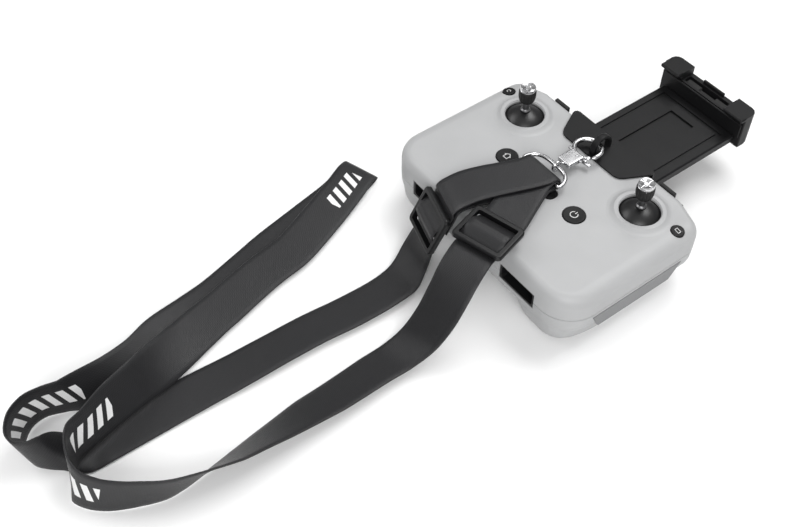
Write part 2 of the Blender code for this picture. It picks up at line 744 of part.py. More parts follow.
def button_mesh(radius, proud, under):
    """Button cap with its retaining flange; under is the depth of the flange's top."""
    return turned([
        (0, proud),
        (radius - 0.0003, proud),
        (radius, proud - 0.0003),
        (radius, -under),
        (radius + FLANGE_EXTRA, -under),
        (radius + FLANGE_EXTRA, -under - FLANGE_THICKNESS),
        (0, -under - FLANGE_THICKNESS),
    ])


def centre_buttons(frame):
    for side, name in ((-1, "return"), (1, "power")):
        seat = empty(name + "_button_seat", frame, (side * BUTTON_X, BUTTON_Y, 0))
        skin = button_mesh(BUTTON_RADIUS, BUTTON_PROUD, WALL + GAP)
        finished(name + "_button", skin, "black_plastic", seat)


def side_button_matrix(side):
    inset = SIDE_BUTTON_INSET
    sine = 1 - inset / FILLET_SIDE
    drop = FILLET_DROP * (1 - math.sqrt(1 - sine * sine)) if sine > 0 else 0.0
    place = Matrix.Translation((side * (HALF_WIDTH - inset), SIDE_BUTTON_Y, -drop))
    return place @ Matrix.Rotation(math.radians(side * SIDE_BUTTON_TILT), 4, "Y")


def side_buttons(frame):
    for side, name in ((-1, "custom"), (1, "capture")):
        seat = empty(name + "_button_seat", frame)
        seat.matrix_local = side_button_matrix(side)
        radius = SIDE_BUTTON_RADIUS
        skin = turned([
            (0, BUTTON_PROUD),
            (radius - 0.0003, BUTTON_PROUD),
            (radius, BUTTON_PROUD - 0.0003),
            (radius, -WALL - 2 * GAP),
            (radius + 0.0004, -WALL - 2 * GAP),
            (radius + 0.0004, -WALL - 2 * GAP - FLANGE_THICKNESS),
            (0, -WALL - 2 * GAP - FLANGE_THICKNESS),
        ], 24)
        finished(name + "_button", skin, "black_plastic", seat)


def mode_switch(frame):
    half_slot = SWITCH_KNOB_HALF + SWITCH_TRAVEL + GAP
    slot_half_width = SWITCH_HALF_WIDTH - 0.0016
    skin = box_mesh(
        (-SWITCH_HALF_LENGTH, BUTTON_Y - SWITCH_HALF_WIDTH, -WALL + 0.0006),
        (SWITCH_HALF_LENGTH, BUTTON_Y + SWITCH_HALF_WIDTH, 0.0001),
        SWITCH_HALF_WIDTH * 0.9, "upright", 3,
    )
    bezel = finished("mode_switch_bezel", skin, "black_plastic", frame)
    slot = box_mesh(
        (-half_slot, BUTTON_Y - slot_half_width, -0.006),
        (half_slot, BUTTON_Y + slot_half_width, 0.002),
    )
    cut(bezel, slot, frame, "travel_slot")
    seat = empty("mode_switch_seat", frame, (0, BUTTON_Y, 0))
    reach = slot_half_width - GAP
    skin = box_mesh(
        (-SWITCH_KNOB_HALF, -reach, -0.0036), (SWITCH_KNOB_HALF, reach, 0.0005), 0.0004
    )
    knob = finished("mode_switch_knob", skin, "black_rubber", seat)
    foot = box_mesh((-0.0052, -0.0036, -0.0042), (0.0052, 0.0036, -0.0030))
    join(knob, foot, seat, "foot")


def battery_lights(frame):
    skin = box_mesh(
        (-LIGHTS_HALF_LENGTH, LIGHTS_Y - LIGHTS_HALF_WIDTH, -WALL),
        (LIGHTS_HALF_LENGTH, LIGHTS_Y + LIGHTS_HALF_WIDTH, 0.0001),
    )
    finished("battery_lights", skin, "light_lens", frame)


def shoulder_point(side, share, inwards):
    """Point on a shoulder edge, a share of the way along it and a distance inside."""
    x = HALF_WIDTH - SHOULDER_RUN * share
    y = TOP_Y - SHOULDER_DROP * (1 - share)
    turn = math.radians(SHOULDER_ANGLE)
    return (
        side * (x - inwards * math.sin(turn)), y - inwards * math.cos(turn),
        -SHOULDER_CONTROL_DEPTH,
    )


def dial_centre():
    return shoulder_point(-1, 0.5, DIAL_RADIUS - DIAL_PROUD)


def shutter_matrix():
    """Button frame on the right shoulder, its Z pointing out of the housing."""
    turn = math.radians(SHOULDER_ANGLE)
    out = Vector((math.sin(turn), math.cos(turn), 0))
    place = Matrix.Translation(shoulder_point(1, 0.5, 0.0))
    return place @ Vector((0, 0, 1)).rotation_difference(out).to_matrix().to_4x4()


def shoulder_controls(frame):
    centre = dial_centre()
    seat = empty("gimbal_dial_seat", frame, centre)
    half = DIAL_THICKNESS / 2
    bore = AXLE_RADIUS + GAP
    teeth = 24
    rings = []
    for z, shrink in ((-half, 0.0004), (-half + 0.0004, 0), (half - 0.0004, 0), (half, 0.0004)):
        ring = []
        for i in range(teeth * 2):
            radius = DIAL_RADIUS - shrink - (0.0003 if i % 2 else 0)
            angle = math.pi * i / teeth
            ring.append((radius * math.cos(angle), radius * math.sin(angle), z))
        rings.append(ring)
    dial = finished("gimbal_dial", loft(rings), "black_rubber", seat)
    cut(dial, cylinder_mesh(bore, (0, 0, -half - 0.001), (0, 0, half + 0.001)), seat, "bore")
    axle = cylinder_mesh(AXLE_RADIUS, (0, 0, -0.0034), (0, 0, half + 0.0005), 12)
    finished("gimbal_dial_axle", moved(axle, Matrix.Translation(centre)), "steel", frame)
    seat = empty("shutter_button_seat", frame)
    seat.matrix_local = shutter_matrix()
    skin = button_mesh(SHUTTER_RADIUS, SHUTTER_PROUD, WALL + SHUTTER_SLACK)
    finished("shutter_button", skin, "black_plastic", seat)


# ---------------------------------------------------------------- sticks
def gimbal(frame, side, name):
    centre = (side * STICK_X, 0, PIVOT_Z)
    housing = empty(name + "_gimbal_seat", frame, centre)
    half_x, half_y = FRAME_HALF_X, GIMBAL_HALF_LENGTH
    top = -GIMBAL_TOP_DEPTH - PIVOT_Z
    floor = -YOKE_BAR_DEPTH - YOKE_SWEEP_CLEARANCE
    skin = box_mesh((-half_x, -half_y, floor - 0.001), (half_x, half_y, top), 0.006, "upright", 3)
    body = finished(name + "_gimbal_frame", skin, "black_plastic", housing)
    pocket = box_mesh(
        (-half_x + GIMBAL_WALL, -half_y + GIMBAL_WALL, floor),
        (half_x - GIMBAL_WALL, half_y - GIMBAL_WALL, top + 0.002), 0.0044, "upright", 3,
    )
    cut(body, pocket, housing, "pocket")
    bores = cylinder_mesh(STUB_RADIUS + GAP, (0, -half_y - 0.002, 0), (0, half_y + 0.002, 0))
    cut(body, bores, housing, "bearing_bores")
    sensor = box_mesh((-0.004, half_y + GAP, -0.004), (0.004, half_y + 0.0033, 0.004), 0.0004)
    finished(name + "_gimbal_sensor", sensor, "circuit_board", housing)

    cradle = empty(name + "_yoke_pivot", frame, centre)
    leg_in = DOME_RADIUS + YOKE_LEG_INSET
    leg_out = leg_in + YOKE_LEG
    bar_top = -YOKE_BAR_DEPTH + YOKE_BAR_THICKNESS
    skin = box_mesh((-0.003, -leg_out, -YOKE_BAR_DEPTH), (0.003, leg_out, bar_top))
    yoke = finished(name + "_gimbal_yoke", skin, "dark_metal", cradle)
    for end in (-1, 1):
        ys = sorted((end * leg_in, end * leg_out))
        leg = box_mesh((-0.0028, ys[0], bar_top - 0.001), (0.0028, ys[1], 0.0022))
        join(yoke, leg, cradle, f"leg_{end + 1}")
        stub = cylinder_mesh(
            STUB_RADIUS, (0, end * (leg_out - 0.001), 0), (0, end * (half_y - 0.0002), 0)
        )
        join(yoke, stub, cradle, f"stub_{end + 1}")
        xs = sorted((end * (STALK_RADIUS + 0.0006), end * (STALK_RADIUS + 0.0022)))
        cheek = box_mesh((xs[0], -0.0024, bar_top - 0.001), (xs[1], 0.0024, 0.0022))
        join(yoke, cheek, cradle, f"cheek_{end + 1}")
    foot = box_mesh((-0.0046, -0.0024, -YOKE_BAR_DEPTH + 0.0001), (0.0046, 0.0024, bar_top - 0.0002))
    join(yoke, foot, cradle, "cheek_foot")
    bores = cylinder_mesh(PIN_RADIUS + GAP, (-0.008, 0, 0), (0.008, 0, 0), 12)
    cut(yoke, bores, cradle, "pin_bores")

    pivot = empty(name + "_stick_pivot", frame, centre)
    stalk_pieces(pivot, name)
    dome_piece(pivot, name)
    knob_pieces(pivot, name)


def stalk_pieces(pivot, name):
    top = KNOB_BOTTOM_Z - PIVOT_Z - GAP
    collar = STALK_RADIUS + 0.0005
    profile = [
        (0, top),
        (STALK_RADIUS * 0.84, top),
        (STALK_RADIUS * 0.84, DOME_RADIUS + 0.0016),
        (STALK_RADIUS, DOME_RADIUS + 0.0014),
        (collar, DOME_RADIUS + 0.0006),
        (collar, DOME_RADIUS + 0.0003),
        (STALK_RADIUS - 0.0001, DOME_RADIUS + 0.0003),
        (STALK_RADIUS - 0.0001, -0.0030),
        (0, -0.0030),
    ]
    stalk = finished(name + "_stick_stalk", turned(profile, 20), "dark_metal", pivot)
    reach = STALK_RADIUS + 0.0020
    pin = cylinder_mesh(PIN_RADIUS, (-reach, 0, 0), (reach, 0, 0), 12)
    join(stalk, pin, pivot, "pin")


def dome_piece(pivot, name):
    bore = math.asin((STALK_RADIUS + GAP) / DOME_RADIUS)
    edge = math.radians(DOME_HALF_ANGLE)
    steps = 5
    angles = [bore + (edge - bore) * i / steps for i in range(steps + 1)]
    inner = DOME_RADIUS - DOME_WALL
    profile = [(DOME_RADIUS * math.sin(a), DOME_RADIUS * math.cos(a)) for a in angles]
    profile += [(inner * math.sin(a), inner * math.cos(a)) for a in reversed(angles[1:])]
    profile += [(STALK_RADIUS + GAP, math.sqrt(inner ** 2 - (STALK_RADIUS + GAP) ** 2))]
    finished(name + "_stick_dome", turned(profile, 28, True), "gloss_black", pivot)


def knob_pieces(pivot, name):
    bottom, top = KNOB_BOTTOM_Z - PIVOT_Z, KNOB_TOP_Z - PIVOT_Z
    bore = STUD_RADIUS + GAP
    teeth = 12
    rows = [(KNOB_RADIUS - 0.0018, bottom), (KNOB_RADIUS - 0.0010, bottom + 0.0008),
            (KNOB_RADIUS - 0.0003, bottom + 0.0025), (KNOB_RADIUS, bottom + 0.0045),
            (KNOB_RADIUS, top - 0.0008), (KNOB_RADIUS - 0.0004, top)]
    rings = []
    for radius, z in rows:
        ring = []
        for i in range(teeth * 2):
            angle = math.pi * i / teeth
            r = radius - (0.00025 if i % 2 else 0)
            ring.append((r * math.cos(angle), r * math.sin(angle), z))
        rings.append(ring)
    knob = finished(name + "_stick_knob", loft(rings), "black_rubber", pivot)
    cut(knob, cylinder_mesh(bore, (0, 0, bottom - 0.002), (0, 0, top + 0.002)), pivot, "bore")
    cap_top = CAP_TOP_Z - PIVOT_Z
    radius = KNOB_RADIUS - 0.0005
    profile = [
        (0, cap_top - 0.0010),
        (0.0012, cap_top - 0.0009),
        (radius - 0.0014, cap_top),
        (radius - 0.0006, cap_top - 0.0003),
        (radius, cap_top - 0.0011),
        (radius, top + GAP),
        (STUD_RADIUS, top + GAP),
        (STUD_RADIUS, bottom + 0.0008),
        (0, bottom + 0.0008),
    ]
    cap = finished(name + "_stick_cap", turned(profile, 24), "bright_metal", pivot)
    for i in range(2):
        turn = Matrix.Rotation(math.radians(90 * i), 4, "Z")
        notch = box_mesh((-0.00045, -0.006, cap_top - 0.0007), (0.00045, 0.006, cap_top + 0.001))
        cut(cap, moved(notch, turn), pivot, f"notch_{i}")


# ---------------------------------------------------------------- inside
def main_board(frame):
    top = -BOARD_TOP_DEPTH
    bottom = top - BOARD_THICKNESS
    inner = STICK_X - FRAME_HALF_X - 0.0025
    lower_y = BOTTOM_Y + 0.011
    outline = [
        (-0.007, BOTTOM_Y + 0.0034), (0.007, BOTTOM_Y + 0.0034), (0.007, lower_y),
        (HALF_WIDTH - 0.015, lower_y), (HALF_WIDTH - 0.011, lower_y + 0.006),
        (HALF_WIDTH - 0.011, -GIMBAL_HALF_LENGTH - 0.002), (inner, -GIMBAL_HALF_LENGTH - 0.002),
        (inner, TOP_Y - 0.009),
        (-inner, TOP_Y - 0.009), (-inner, -GIMBAL_HALF_LENGTH - 0.002),
        (-HALF_WIDTH + 0.011, -GIMBAL_HALF_LENGTH - 0.002), (-HALF_WIDTH + 0.011, lower_y + 0.006),
        (-HALF_WIDTH + 0.015, lower_y), (-0.007, lower_y),
    ]
    board = finished("main_board", prism_mesh(outline, bottom, top), "circuit_board", frame)
    tact_top = -(WALL + GAP + FLANGE_THICKNESS + BUTTON_TRAVEL + GAP)
    for side, label in ((-1, "left"), (1, "right")):
        x = side * BUTTON_X
        tact = box_mesh(
            (x - 0.002, BUTTON_Y - 0.002, top - 0.0004), (x + 0.002, BUTTON_Y + 0.002, tact_top)
        )
        join(board, tact, frame, label + "_tact_switch")
    chip = box_mesh((-0.008, -0.008, top - 0.0004), (0.008, 0.008, top + 0.0011))
    join(board, chip, frame, "radio_chip")


def battery_cells(frame):
    for side, name in ((-1, "left"), (1, "right")):
        half = CELL_LENGTH / 2
        profile = [
            (0, half), (0.0028, half), (0.0028, half - 0.0010),
            (CELL_RADIUS - 0.0006, half - 0.0010), (CELL_RADIUS, half - 0.0016),
            (CELL_RADIUS, -half + 0.0005), (CELL_RADIUS - 0.0005, -half), (0, -half),
        ]
        skin = moved(turned(profile, 24), Matrix.Rotation(math.radians(-90), 4, "X"))
        cell = finished(name + "_battery_cell", skin, "battery_wrap", frame)
        cell.location = (side * CELL_X, CELL_Y, -CELL_DEPTH)


def usb_port(frame):
    front = BOTTOM_Y + 0.0008
    skin = box_mesh(
        (-PORT_HALF_WIDTH, front, -PORT_DEPTH - PORT_HEIGHT / 2),
        (PORT_HALF_WIDTH, front + PORT_LENGTH, -PORT_DEPTH + PORT_HEIGHT / 2),
    )
    port = finished("usb_c_port", skin, "steel", frame)
    wall = 0.0003
    pocket = box_mesh(
        (-PORT_HALF_WIDTH + wall, front - 0.002, -PORT_DEPTH - PORT_HEIGHT / 2 + wall),
        (PORT_HALF_WIDTH - wall, front + PORT_LENGTH - 0.001, -PORT_DEPTH + PORT_HEIGHT / 2 - wall),
    )
    cut(port, pocket, frame, "mouth")
    tongue = box_mesh(
        (-0.0033, front + 0.0008, -PORT_DEPTH - 0.00035),
        (0.0033, front + PORT_LENGTH - 0.0005, -PORT_DEPTH + 0.00035),
    )
    join(port, tongue, frame, "tongue")


def stick_slots(frame):
    for side, name in ((-1, "left"), (1, "right")):
        low, high = slot_box(side, 0.0)
        sleeve = finished(name + "_stick_slot", box_mesh(low, high), "black_rubber", frame)
        pocket = box_mesh(
            (low[0] + SLOT_WALL, low[1] - 0.002, low[2] + SLOT_WALL),
            (high[0] - SLOT_WALL, high[1] - SLOT_WALL, high[2] - SLOT_WALL), 0.001,
        )
        cut(sleeve, pocket, frame, "pocket")


# ---------------------------------------------------------------- phone holder
def phone_holder(frame):
    seat = empty("phone_holder_slide", frame)
    top, bottom = -ARM_TOP_DEPTH, -ARM_TOP_DEPTH - ARM_THICKNESS
    inner_end = TOP_Y - ARM_ENGAGEMENT
    outer_end = JAW_INNER_Y + JAW_PAD_THICKNESS
    skin = box_mesh((-ARM_HALF_WIDTH, inner_end, bottom), (ARM_HALF_WIDTH, outer_end, top), 0.0008)
    arm = finished("holder_arm", skin, "black_plastic", seat)
    tongue = box_mesh(
        (-TONGUE_HALF_WIDTH, inner_end - TONGUE_LENGTH, bottom + 0.0006),
        (TONGUE_HALF_WIDTH, inner_end + 0.002, top - 0.0006),
    )
    join(arm, tongue, seat, "tongue")
    channel = box_mesh(
        (-CABLE_CHANNEL_HALF, TOP_Y + 0.016, top - 0.0012),
        (CABLE_CHANNEL_HALF, outer_end - 0.014, top + 0.002),
    )
    cut(arm, channel, seat, "cable_channel")
    groove_x = ARM_HALF_WIDTH - 0.006
    groove_near, groove_far = TOP_Y + 0.0075, outer_end - 0.007
    for side, name in ((-1, "left"), (1, "right")):
        x = side * groove_x
        groove = box_mesh(
            (x - ARM_GROOVE / 2, groove_near, top - ARM_GROOVE_DEPTH),
            (x + ARM_GROOVE / 2, groove_far, top + 0.002),
        )
        cut(arm, groove, seat, name + "_groove")
    for y, name in ((groove_near, "near"), (groove_far, "far")):
        groove = box_mesh(
            (-groove_x - ARM_GROOVE / 2, y - ARM_GROOVE / 2, top - ARM_GROOVE_DEPTH),
            (groove_x + ARM_GROOVE / 2, y + ARM_GROOVE / 2, top + 0.002),
        )
        cut(arm, groove, seat, name + "_groove")
    jaw_pieces(seat, outer_end)
    window_x = ARM_HALF_WIDTH + GAP
    guide_front = TOP_Y - WALL - 0.0016
    rail = box_mesh(
        (-window_x - GUIDE_WALL, guide_front - GUIDE_LENGTH, bottom - GAP - GUIDE_WALL),
        (window_x + GUIDE_WALL, guide_front, top + GAP + GUIDE_WALL),
    )
    guide = finished("holder_guide", rail, "black_plastic", frame)
    window = box_mesh(
        (-window_x, TOP_Y - 0.02, bottom - GAP), (window_x, TOP_Y + 0.01, top + GAP)
    )
    cut(guide, window, frame, "window")


def jaw_pieces(seat, pad_back):
    near = pad_back + GAP
    corners = [
        (-JAW_HALF_WIDTH, near, 0.0008, 1), (JAW_HALF_WIDTH, near, 0.0008, 1),
        (JAW_HALF_WIDTH, JAW_OUTER_Y, 0.0045, 1), (-JAW_HALF_WIDTH, JAW_OUTER_Y, 0.0045, 1),
    ]
    outline = rounded_outline(corners)
    body = prism_mesh(outline, -JAW_BOTTOM_DEPTH, JAW_TOP_Z)
    jaw = finished("holder_jaw", body, "black_plastic", seat)
    for side, name in ((-1, "left"), (1, "right")):
        xs = sorted((side * JAW_BLOCK_INNER_X, side * JAW_HALF_WIDTH))
        lip = box_mesh(
            (xs[0], JAW_INNER_Y - JAW_LIP, JAW_TOP_Z - 0.0025), (xs[1], near + 0.002, JAW_TOP_Z),
            0.0006,
        )
        join(jaw, lip, seat, name + "_lip")
    channel = box_mesh(
        (-JAW_BLOCK_INNER_X, near - 0.01, -JAW_CHANNEL_DEPTH),
        (JAW_BLOCK_INNER_X, JAW_OUTER_Y + 0.002, JAW_TOP_Z + 0.002),
    )
    cut(jaw, channel, seat, "channel")
    pocket = box_mesh(
        (-JAW_BLOCK_INNER_X + 0.001, near + 0.0016, -JAW_CHANNEL_DEPTH - 0.006),
        (JAW_BLOCK_INNER_X - 0.001, JAW_OUTER_Y - 0.003, JAW_TOP_Z),
    )
    cut(jaw, pocket, seat, "lead_pocket")
    tab = box_mesh(
        (-0.008, JAW_OUTER_Y - 0.0018, -JAW_CHANNEL_DEPTH - 0.001),
        (0.008, JAW_OUTER_Y - 0.0002, -JAW_CHANNEL_DEPTH + 0.0022), 0.0004,
    )
    join(jaw, tab, seat, "release_tab")
    pad = box_mesh(
        (-JAW_HALF_WIDTH + 0.001, JAW_INNER_Y, -ARM_TOP_DEPTH + GAP),
        (JAW_HALF_WIDTH - 0.001, pad_back, -JAW_CHANNEL_DEPTH - 0.0003), 0.0003,
    )
    finished("jaw_pad", pad, "black_rubber", seat)
    half = JAW_BLOCK_INNER_X - 0.0015
    middle_y = (near + 0.0016 + JAW_OUTER_Y - 0.003) / 2
    middle_z = -JAW_CHANNEL_DEPTH - 0.0034
    cable = cylinder_mesh(
        0.0014, (-half + 0.002, middle_y, middle_z), (half - 0.002, middle_y, middle_z), 12
    )
    lead = finished("phone_lead", cable, "black_rubber", seat)
    for side, name in ((-1, "left"), (1, "right")):
        xs = sorted((side * half, side * (half - 0.0105)))
        plug = box_mesh(
            (xs[0], middle_y - 0.0022, middle_z - 0.0022),
            (xs[1], middle_y + 0.0022, middle_z + 0.0022), 0.0006,
        )
        join(lead, plug, seat, name + "_plug")


# ---------------------------------------------------------------- clasp and D-ring
def clasp(frame):
    hook = empty("clasp_axis", frame, (CLASP_X, 0, CLASP_Z))
    half = CLASP_BODY_THICKNESS / 2
    body_top = CLASP_RING_Y - CLASP_RING_RADIUS + 0.0008
    body_low = body_top - CLASP_BODY_LENGTH
    path = arc(CLASP_RING_RADIUS, 250, -25, 26, (0, CLASP_RING_Y))
    body = finished("clasp_hook", wire_mesh(path, CLASP_WIRE, 10), "bright_metal", hook)
    block = box_mesh(
        (-CLASP_BODY_HALF_WIDTH, body_low, -half), (CLASP_BODY_HALF_WIDTH, body_top, half), 0.0004
    )
    join(body, block, hook, "body")
    ear = box_mesh(
        (-CLASP_BODY_HALF_WIDTH - 0.0028, body_top - 0.0012, -0.0008),
        (-0.002, body_top + 0.0006, 0.0008),
    )
    join(body, ear, hook, "ear")
    slot = box_mesh(
        (GATE_PIVOT_X - 0.0021, GATE_PIVOT_Y - 0.0021, -0.0010), (0.009, body_top + 0.001, 0.0010)
    )
    cut(body, slot, hook, "gate_slot")
    pivot = (GATE_PIVOT_X, GATE_PIVOT_Y)
    bore = cylinder_mesh(0.0007 + GAP, (*pivot, -0.004), (*pivot, 0.004), 12)
    cut(body, bore, hook, "pin_bore")
    stud_bore = cylinder_mesh(0.0011, (0, body_low - 0.001, 0), (0, body_low + 0.0035, 0), 12)
    cut(body, stud_bore, hook, "stud_bore")
    pin = finished("clasp_pin", cylinder_mesh(0.0007, (*pivot, -half), (*pivot, half), 12), "steel", hook)
    pin.parent = hook

    gate_seat = empty("clasp_gate_pivot", hook, (*pivot, 0))
    ring = Vector((0 - GATE_PIVOT_X, CLASP_RING_Y - GATE_PIVOT_Y, 0))
    tip = [Vector(p) + ring for p in arc(CLASP_RING_RADIUS, -32, -58, 4)]
    path = tip + [Vector((0.0016, 0.0012, 0)), Vector((0.0006, 0.0004, 0))]
    gate = finished("clasp_gate", wire_mesh(path, 0.0007, 8), "bright_metal", gate_seat)
    fat = [Vector(p) + ring for p in arc(CLASP_RING_RADIUS, -32, -50, 3)]
    join(gate, wire_mesh(fat, GATE_WIRE, 8), gate_seat, "nose")
    join(gate, cylinder_mesh(0.0017, (0, 0, -0.0007), (0, 0, 0.0007), 16), gate_seat, "eye")
    cut(gate, cylinder_mesh(0.001, (0, 0, -0.002), (0, 0, 0.002), 12), gate_seat, "eye_bore")
    tab = box_mesh((0.0030, 0.0006, -0.0026), (0.0082, 0.0028, -0.0017), 0.0002)
    stem = box_mesh((0.0038, 0.0010, -0.0020), (0.0052, 0.0026, -0.0003))
    turn = Matrix.Rotation(math.radians(8), 4, "Z")
    join(gate, moved(tab, turn), gate_seat, "thumb_tab")
    join(gate, moved(stem, turn), gate_seat, "tab_stem")

    eye_y = body_low - GAP - 0.0042
    ring_path = [
        (CLASP_X, eye_y + 0.0029 * math.cos(t), CLASP_Z + 0.0029 * math.sin(t))
        for t in [2 * math.pi * i / 16 for i in range(16)]
    ]
    swivel = finished("clasp_swivel", wire_mesh(ring_path, 0.0009, 8, True), "bright_metal", frame)
    stud = cylinder_mesh(
        0.0008, (CLASP_X, eye_y + 0.0030, CLASP_Z), (CLASP_X, body_low + 0.0030, CLASP_Z), 12
    )
    join(swivel, stud, frame, "stud")
    return eye_y


def d_ring(frame, eye_y):
    rise = eye_y - D_RING_BAR_Y
    tilt = math.degrees(math.atan2(CLASP_Z - D_RING_BAR_Z, rise))
    seat = empty("d_ring_seat", frame, (D_RING_X, D_RING_BAR_Y, D_RING_BAR_Z), (tilt, 0, 0))
    path = [(x * D_RING_HALF / 4, 0, 0) for x in range(-3, 4)]
    for i in range(17):
        angle = math.pi * i / 16
        c, s = math.cos(angle), math.sin(angle)
        x = D_RING_HALF * math.copysign(abs(c) ** 0.6, c)
        path.append((x, rise * abs(s) ** 0.9 + 0.0001, 0))
    finished("d_ring", wire_mesh(path, D_RING_WIRE, 8, True), "bright_metal", seat)


# ---------------------------------------------------------------- webbing and sliders
# Each slider: centre, direction across the webbing, direction along it towards the neck.
SLIDERS = {
    "left": (
        Vector((-0.0212, -0.0888, -0.0089)), Vector((0.960, -0.250, 0.110)),
        Vector((-0.11, -0.40, -0.91)),
    ),
    "right": (
        Vector((0.0153, -0.0796, 0.0080)), Vector((0.9646, 0.2639, 0.0)),
        Vector((0.2639, -0.9646, 0.0)),
    ),
}

# Runs of the two tabs between the D-ring and the sliders, in millimetres, where each tab
# folds back below itself; the webbing turns to its slider's direction over TAB_TURN.
LEFT_TAB_BELOW = (
    (-18.9, -78.3, 0.6), (-19.2, -76.8, 1.9), (-19.3, -72.5, 2.4), (-17.6, -65, 2.3),
    (-14.2, -56, 2.0), (-9.2, -45, 1.7), (-5.4, -36.5, 1.6), (-3.6, -31, 1.55),
)
LEFT_TAB_ABOVE = (
    (-3.6, -31, 8.8), (-5.4, -36.5, 8.6), (-9.2, -45, 8.0), (-14.2, -56, 7.1),
    (-17.6, -65, 6.2), (-19.3, -73, 5.2), (-19.3, -78.4, 4.9), (-19.1, -80.6, 3.8),
)
RIGHT_TAB_ABOVE = ((10.3, -62, 5.2), (4.6, -49, 5.6), (-0.6, -37, 6.5), (-2.8, -31, 7.1))
RIGHT_TAB_BELOW = ((-2.8, -31, 3.1), (-0.6, -37, 3.2), (4.6, -49, 3.4), (10.3, -62, 3.45))
TAB_TURN = 0.037

# Lie of the neck loop in millimetres, from the left slider round to the right one: x, y,
# height of the webbing's lower edge above the floor, bearing of its first edge in degrees,
# and how far that edge is lifted in degrees.
NECK_ROUTE = (
    (-21.8, -97.5, 7.9, 172, 0),
    (-17.5, -108, 1.3, 180, -6),
    (-15.5, -121, 0.2, 180, -9),
    (-16, -146, 0.1, 178, -8),
    (-18, -168, 0.1, 180, -8),
    (-18.8, -190, 0.1, 180, -8),
    (-19.6, -214, 0.1, 180, -6),
    (-21, -236, 0.1, 178, -3),
    (-22, -258, 0.4, 178, 0),
    (-22.5, -277, 0.2, 178, 1),
    (-22.8, -291, 0.5, 180, 3),
    (-23.2, -301, 0.3, 182, 13),
    (-24.2, -307, 0.2, 186, 38),
    (-25.2, -312.5, 0.2, 196, 66),
    (-28.0, -318.8, 0.3, 222, 80),
    (-32.5, -323.5, 0.6, 252, 78),
    (-41, -324, 0.6, 275, 78),
    (-48.5, -319.5, 0.7, 235, 82),
    (-53, -312, 0.8, 200, 86),
    (-53.3, -304, 0.8, 180, 88),
    (-50.5, -294, 0.6, 180, 84),
    (-48.5, -283, 0.4, 180, 65),
    (-48.2, -271.5, 0.7, 180, 45),
    (-52, -254, 0.6, 184, 29),
    (-59.4, -236, 0.4, 189, 20),
    (-65, -214, 0.2, 192, 9),
    (-69, -197, 0.2, 193, 3),
    (-77, -169, 0.2, 193, 0),
    (-81, -154, 0.2, 192, 0),
    (-87, -125, 0.1, 192, 0),
    (-92.5, -99, 0.1, 193, 0),
    (-97.4, -84, 0.4, 196, 0),
    (-99.3, -78.6, 1.4, 198, 0),
    (-97.8, -83, 2.6, 201, 0),
    (-91.5, -95, 2.6, 203, 3),
    (-84, -111, 2.3, 205, 5),
    (-76, -129.5, 2.3, 199, 5),
    (-69, -148, 2.4, 190, 4),
    (-66, -166, 2.1, 188, 5),
    (-62, -182.5, 2.1, 193, 6),
    (-57.5, -198.5, 2.1, 197, 7),
    (-54.5, -210, 2.1, 196, 9),
    (-49.8, -225, 1.9, 195, 14),
    (-41.8, -244.6, 2.3, 190, 34),
    (-36.1, -259.5, 2.9, 190, 54),
    (-30.6, -277.6, 3.7, 190, 63),
    (-24.3, -292.5, 5, 187, 75),
    (-20.8, -301.5, 6.0, 184, 77),
    (-15.2, -306.6, 5.6, 165, 80),
    (-9.0, -310.0, 2.8, 135, 80),
    (-3, -311.6, 0.9, 95, 73),
    (5.4, -307.5, 0.9, 86, 72),
    (12.5, -300.5, 0.8, 80, 74),
    (19, -290.5, 0.8, 60, 76),
    (25, -278, 0.5, 20, 77),
    (26.8, -268, 0.5, 5, 70),
    (27.3, -257, 0.6, 355, 60),
    (27.5, -242, 0.6, 0, 46),
    (26.7, -228, 0.5, 0, 38),
    (25.9, -214.5, 0.4, 0, 30),
    (25, -200.5, 0.6, 2, 22),
    (24.9, -186, 0.6, 2, 18),
    (24.3, -172, 0.5, 2, 16),
    (23.6, -158, 0.5, 2, 14),
    (23.8, -144, 1.3, 4, 12),
    (25.3, -132, 8, 8, 9),
    (26.6, -122, 21.1, 11, 6),
    (25.8, -113.5, 33.8, 13, 3),
    (23.2, -104.5, 42.9, 15, 0),
)


def slider_axes(name):
    centre, across, along = SLIDERS[name]
    along = along.normalized()
    across = (across - along * across.dot(along)).normalized()
    return centre, across, along, across.cross(along) * -1


def slider_frame(frame, name):
    """Slider with two slots and a middle bar, laid at its place on the webbing."""
    centre, across, along, out = slider_axes(name)
    half_w, half_l, half_t = SLIDER_WIDTH / 2, SLIDER_LENGTH / 2, SLIDER_THICKNESS / 2
    corners = [(x, y, SLIDER_CORNER, 1) for x, y in (
        (-half_w, -half_l), (half_w, -half_l), (half_w, half_l), (-half_w, half_l))]
    rings = [at_height(rounded_outline(corners, inset), z) for inset, z in (
        (0.0007, -half_t), (0.0, 0.0007 - half_t), (0.0, half_t - 0.0007), (0.0007, half_t))]
    skin = loft(rings)
    seat = empty(name + "_slider_seat", frame)
    turn = Matrix((across, along * -1, out)).transposed().to_4x4()
    seat.matrix_local = Matrix.Translation(centre) @ turn
    slider = finished(name + "_slider", skin, "black_plastic", seat)
    inner = half_w - SLIDER_SIDE_BAR
    for end in (-1, 1):
        ys = sorted((end * SLIDER_MIDDLE_BAR / 2, end * (half_l - SLIDER_END_BAR)))
        slot = box_mesh((-inner, ys[0], -0.01), (inner, ys[1], 0.01))
        cut(slider, slot, seat, f"slot_{end + 1}")
        level = half_t - 0.0007
        for face in (-1, 1):
            zs = sorted((face * level, face * 0.01))
            thin = box_mesh((-inner, -SLIDER_MIDDLE_BAR, zs[0]), (inner, SLIDER_MIDDLE_BAR, zs[1]))
            if end == 1:
                cut(slider, thin, seat, f"bar_face_{face + 1}")


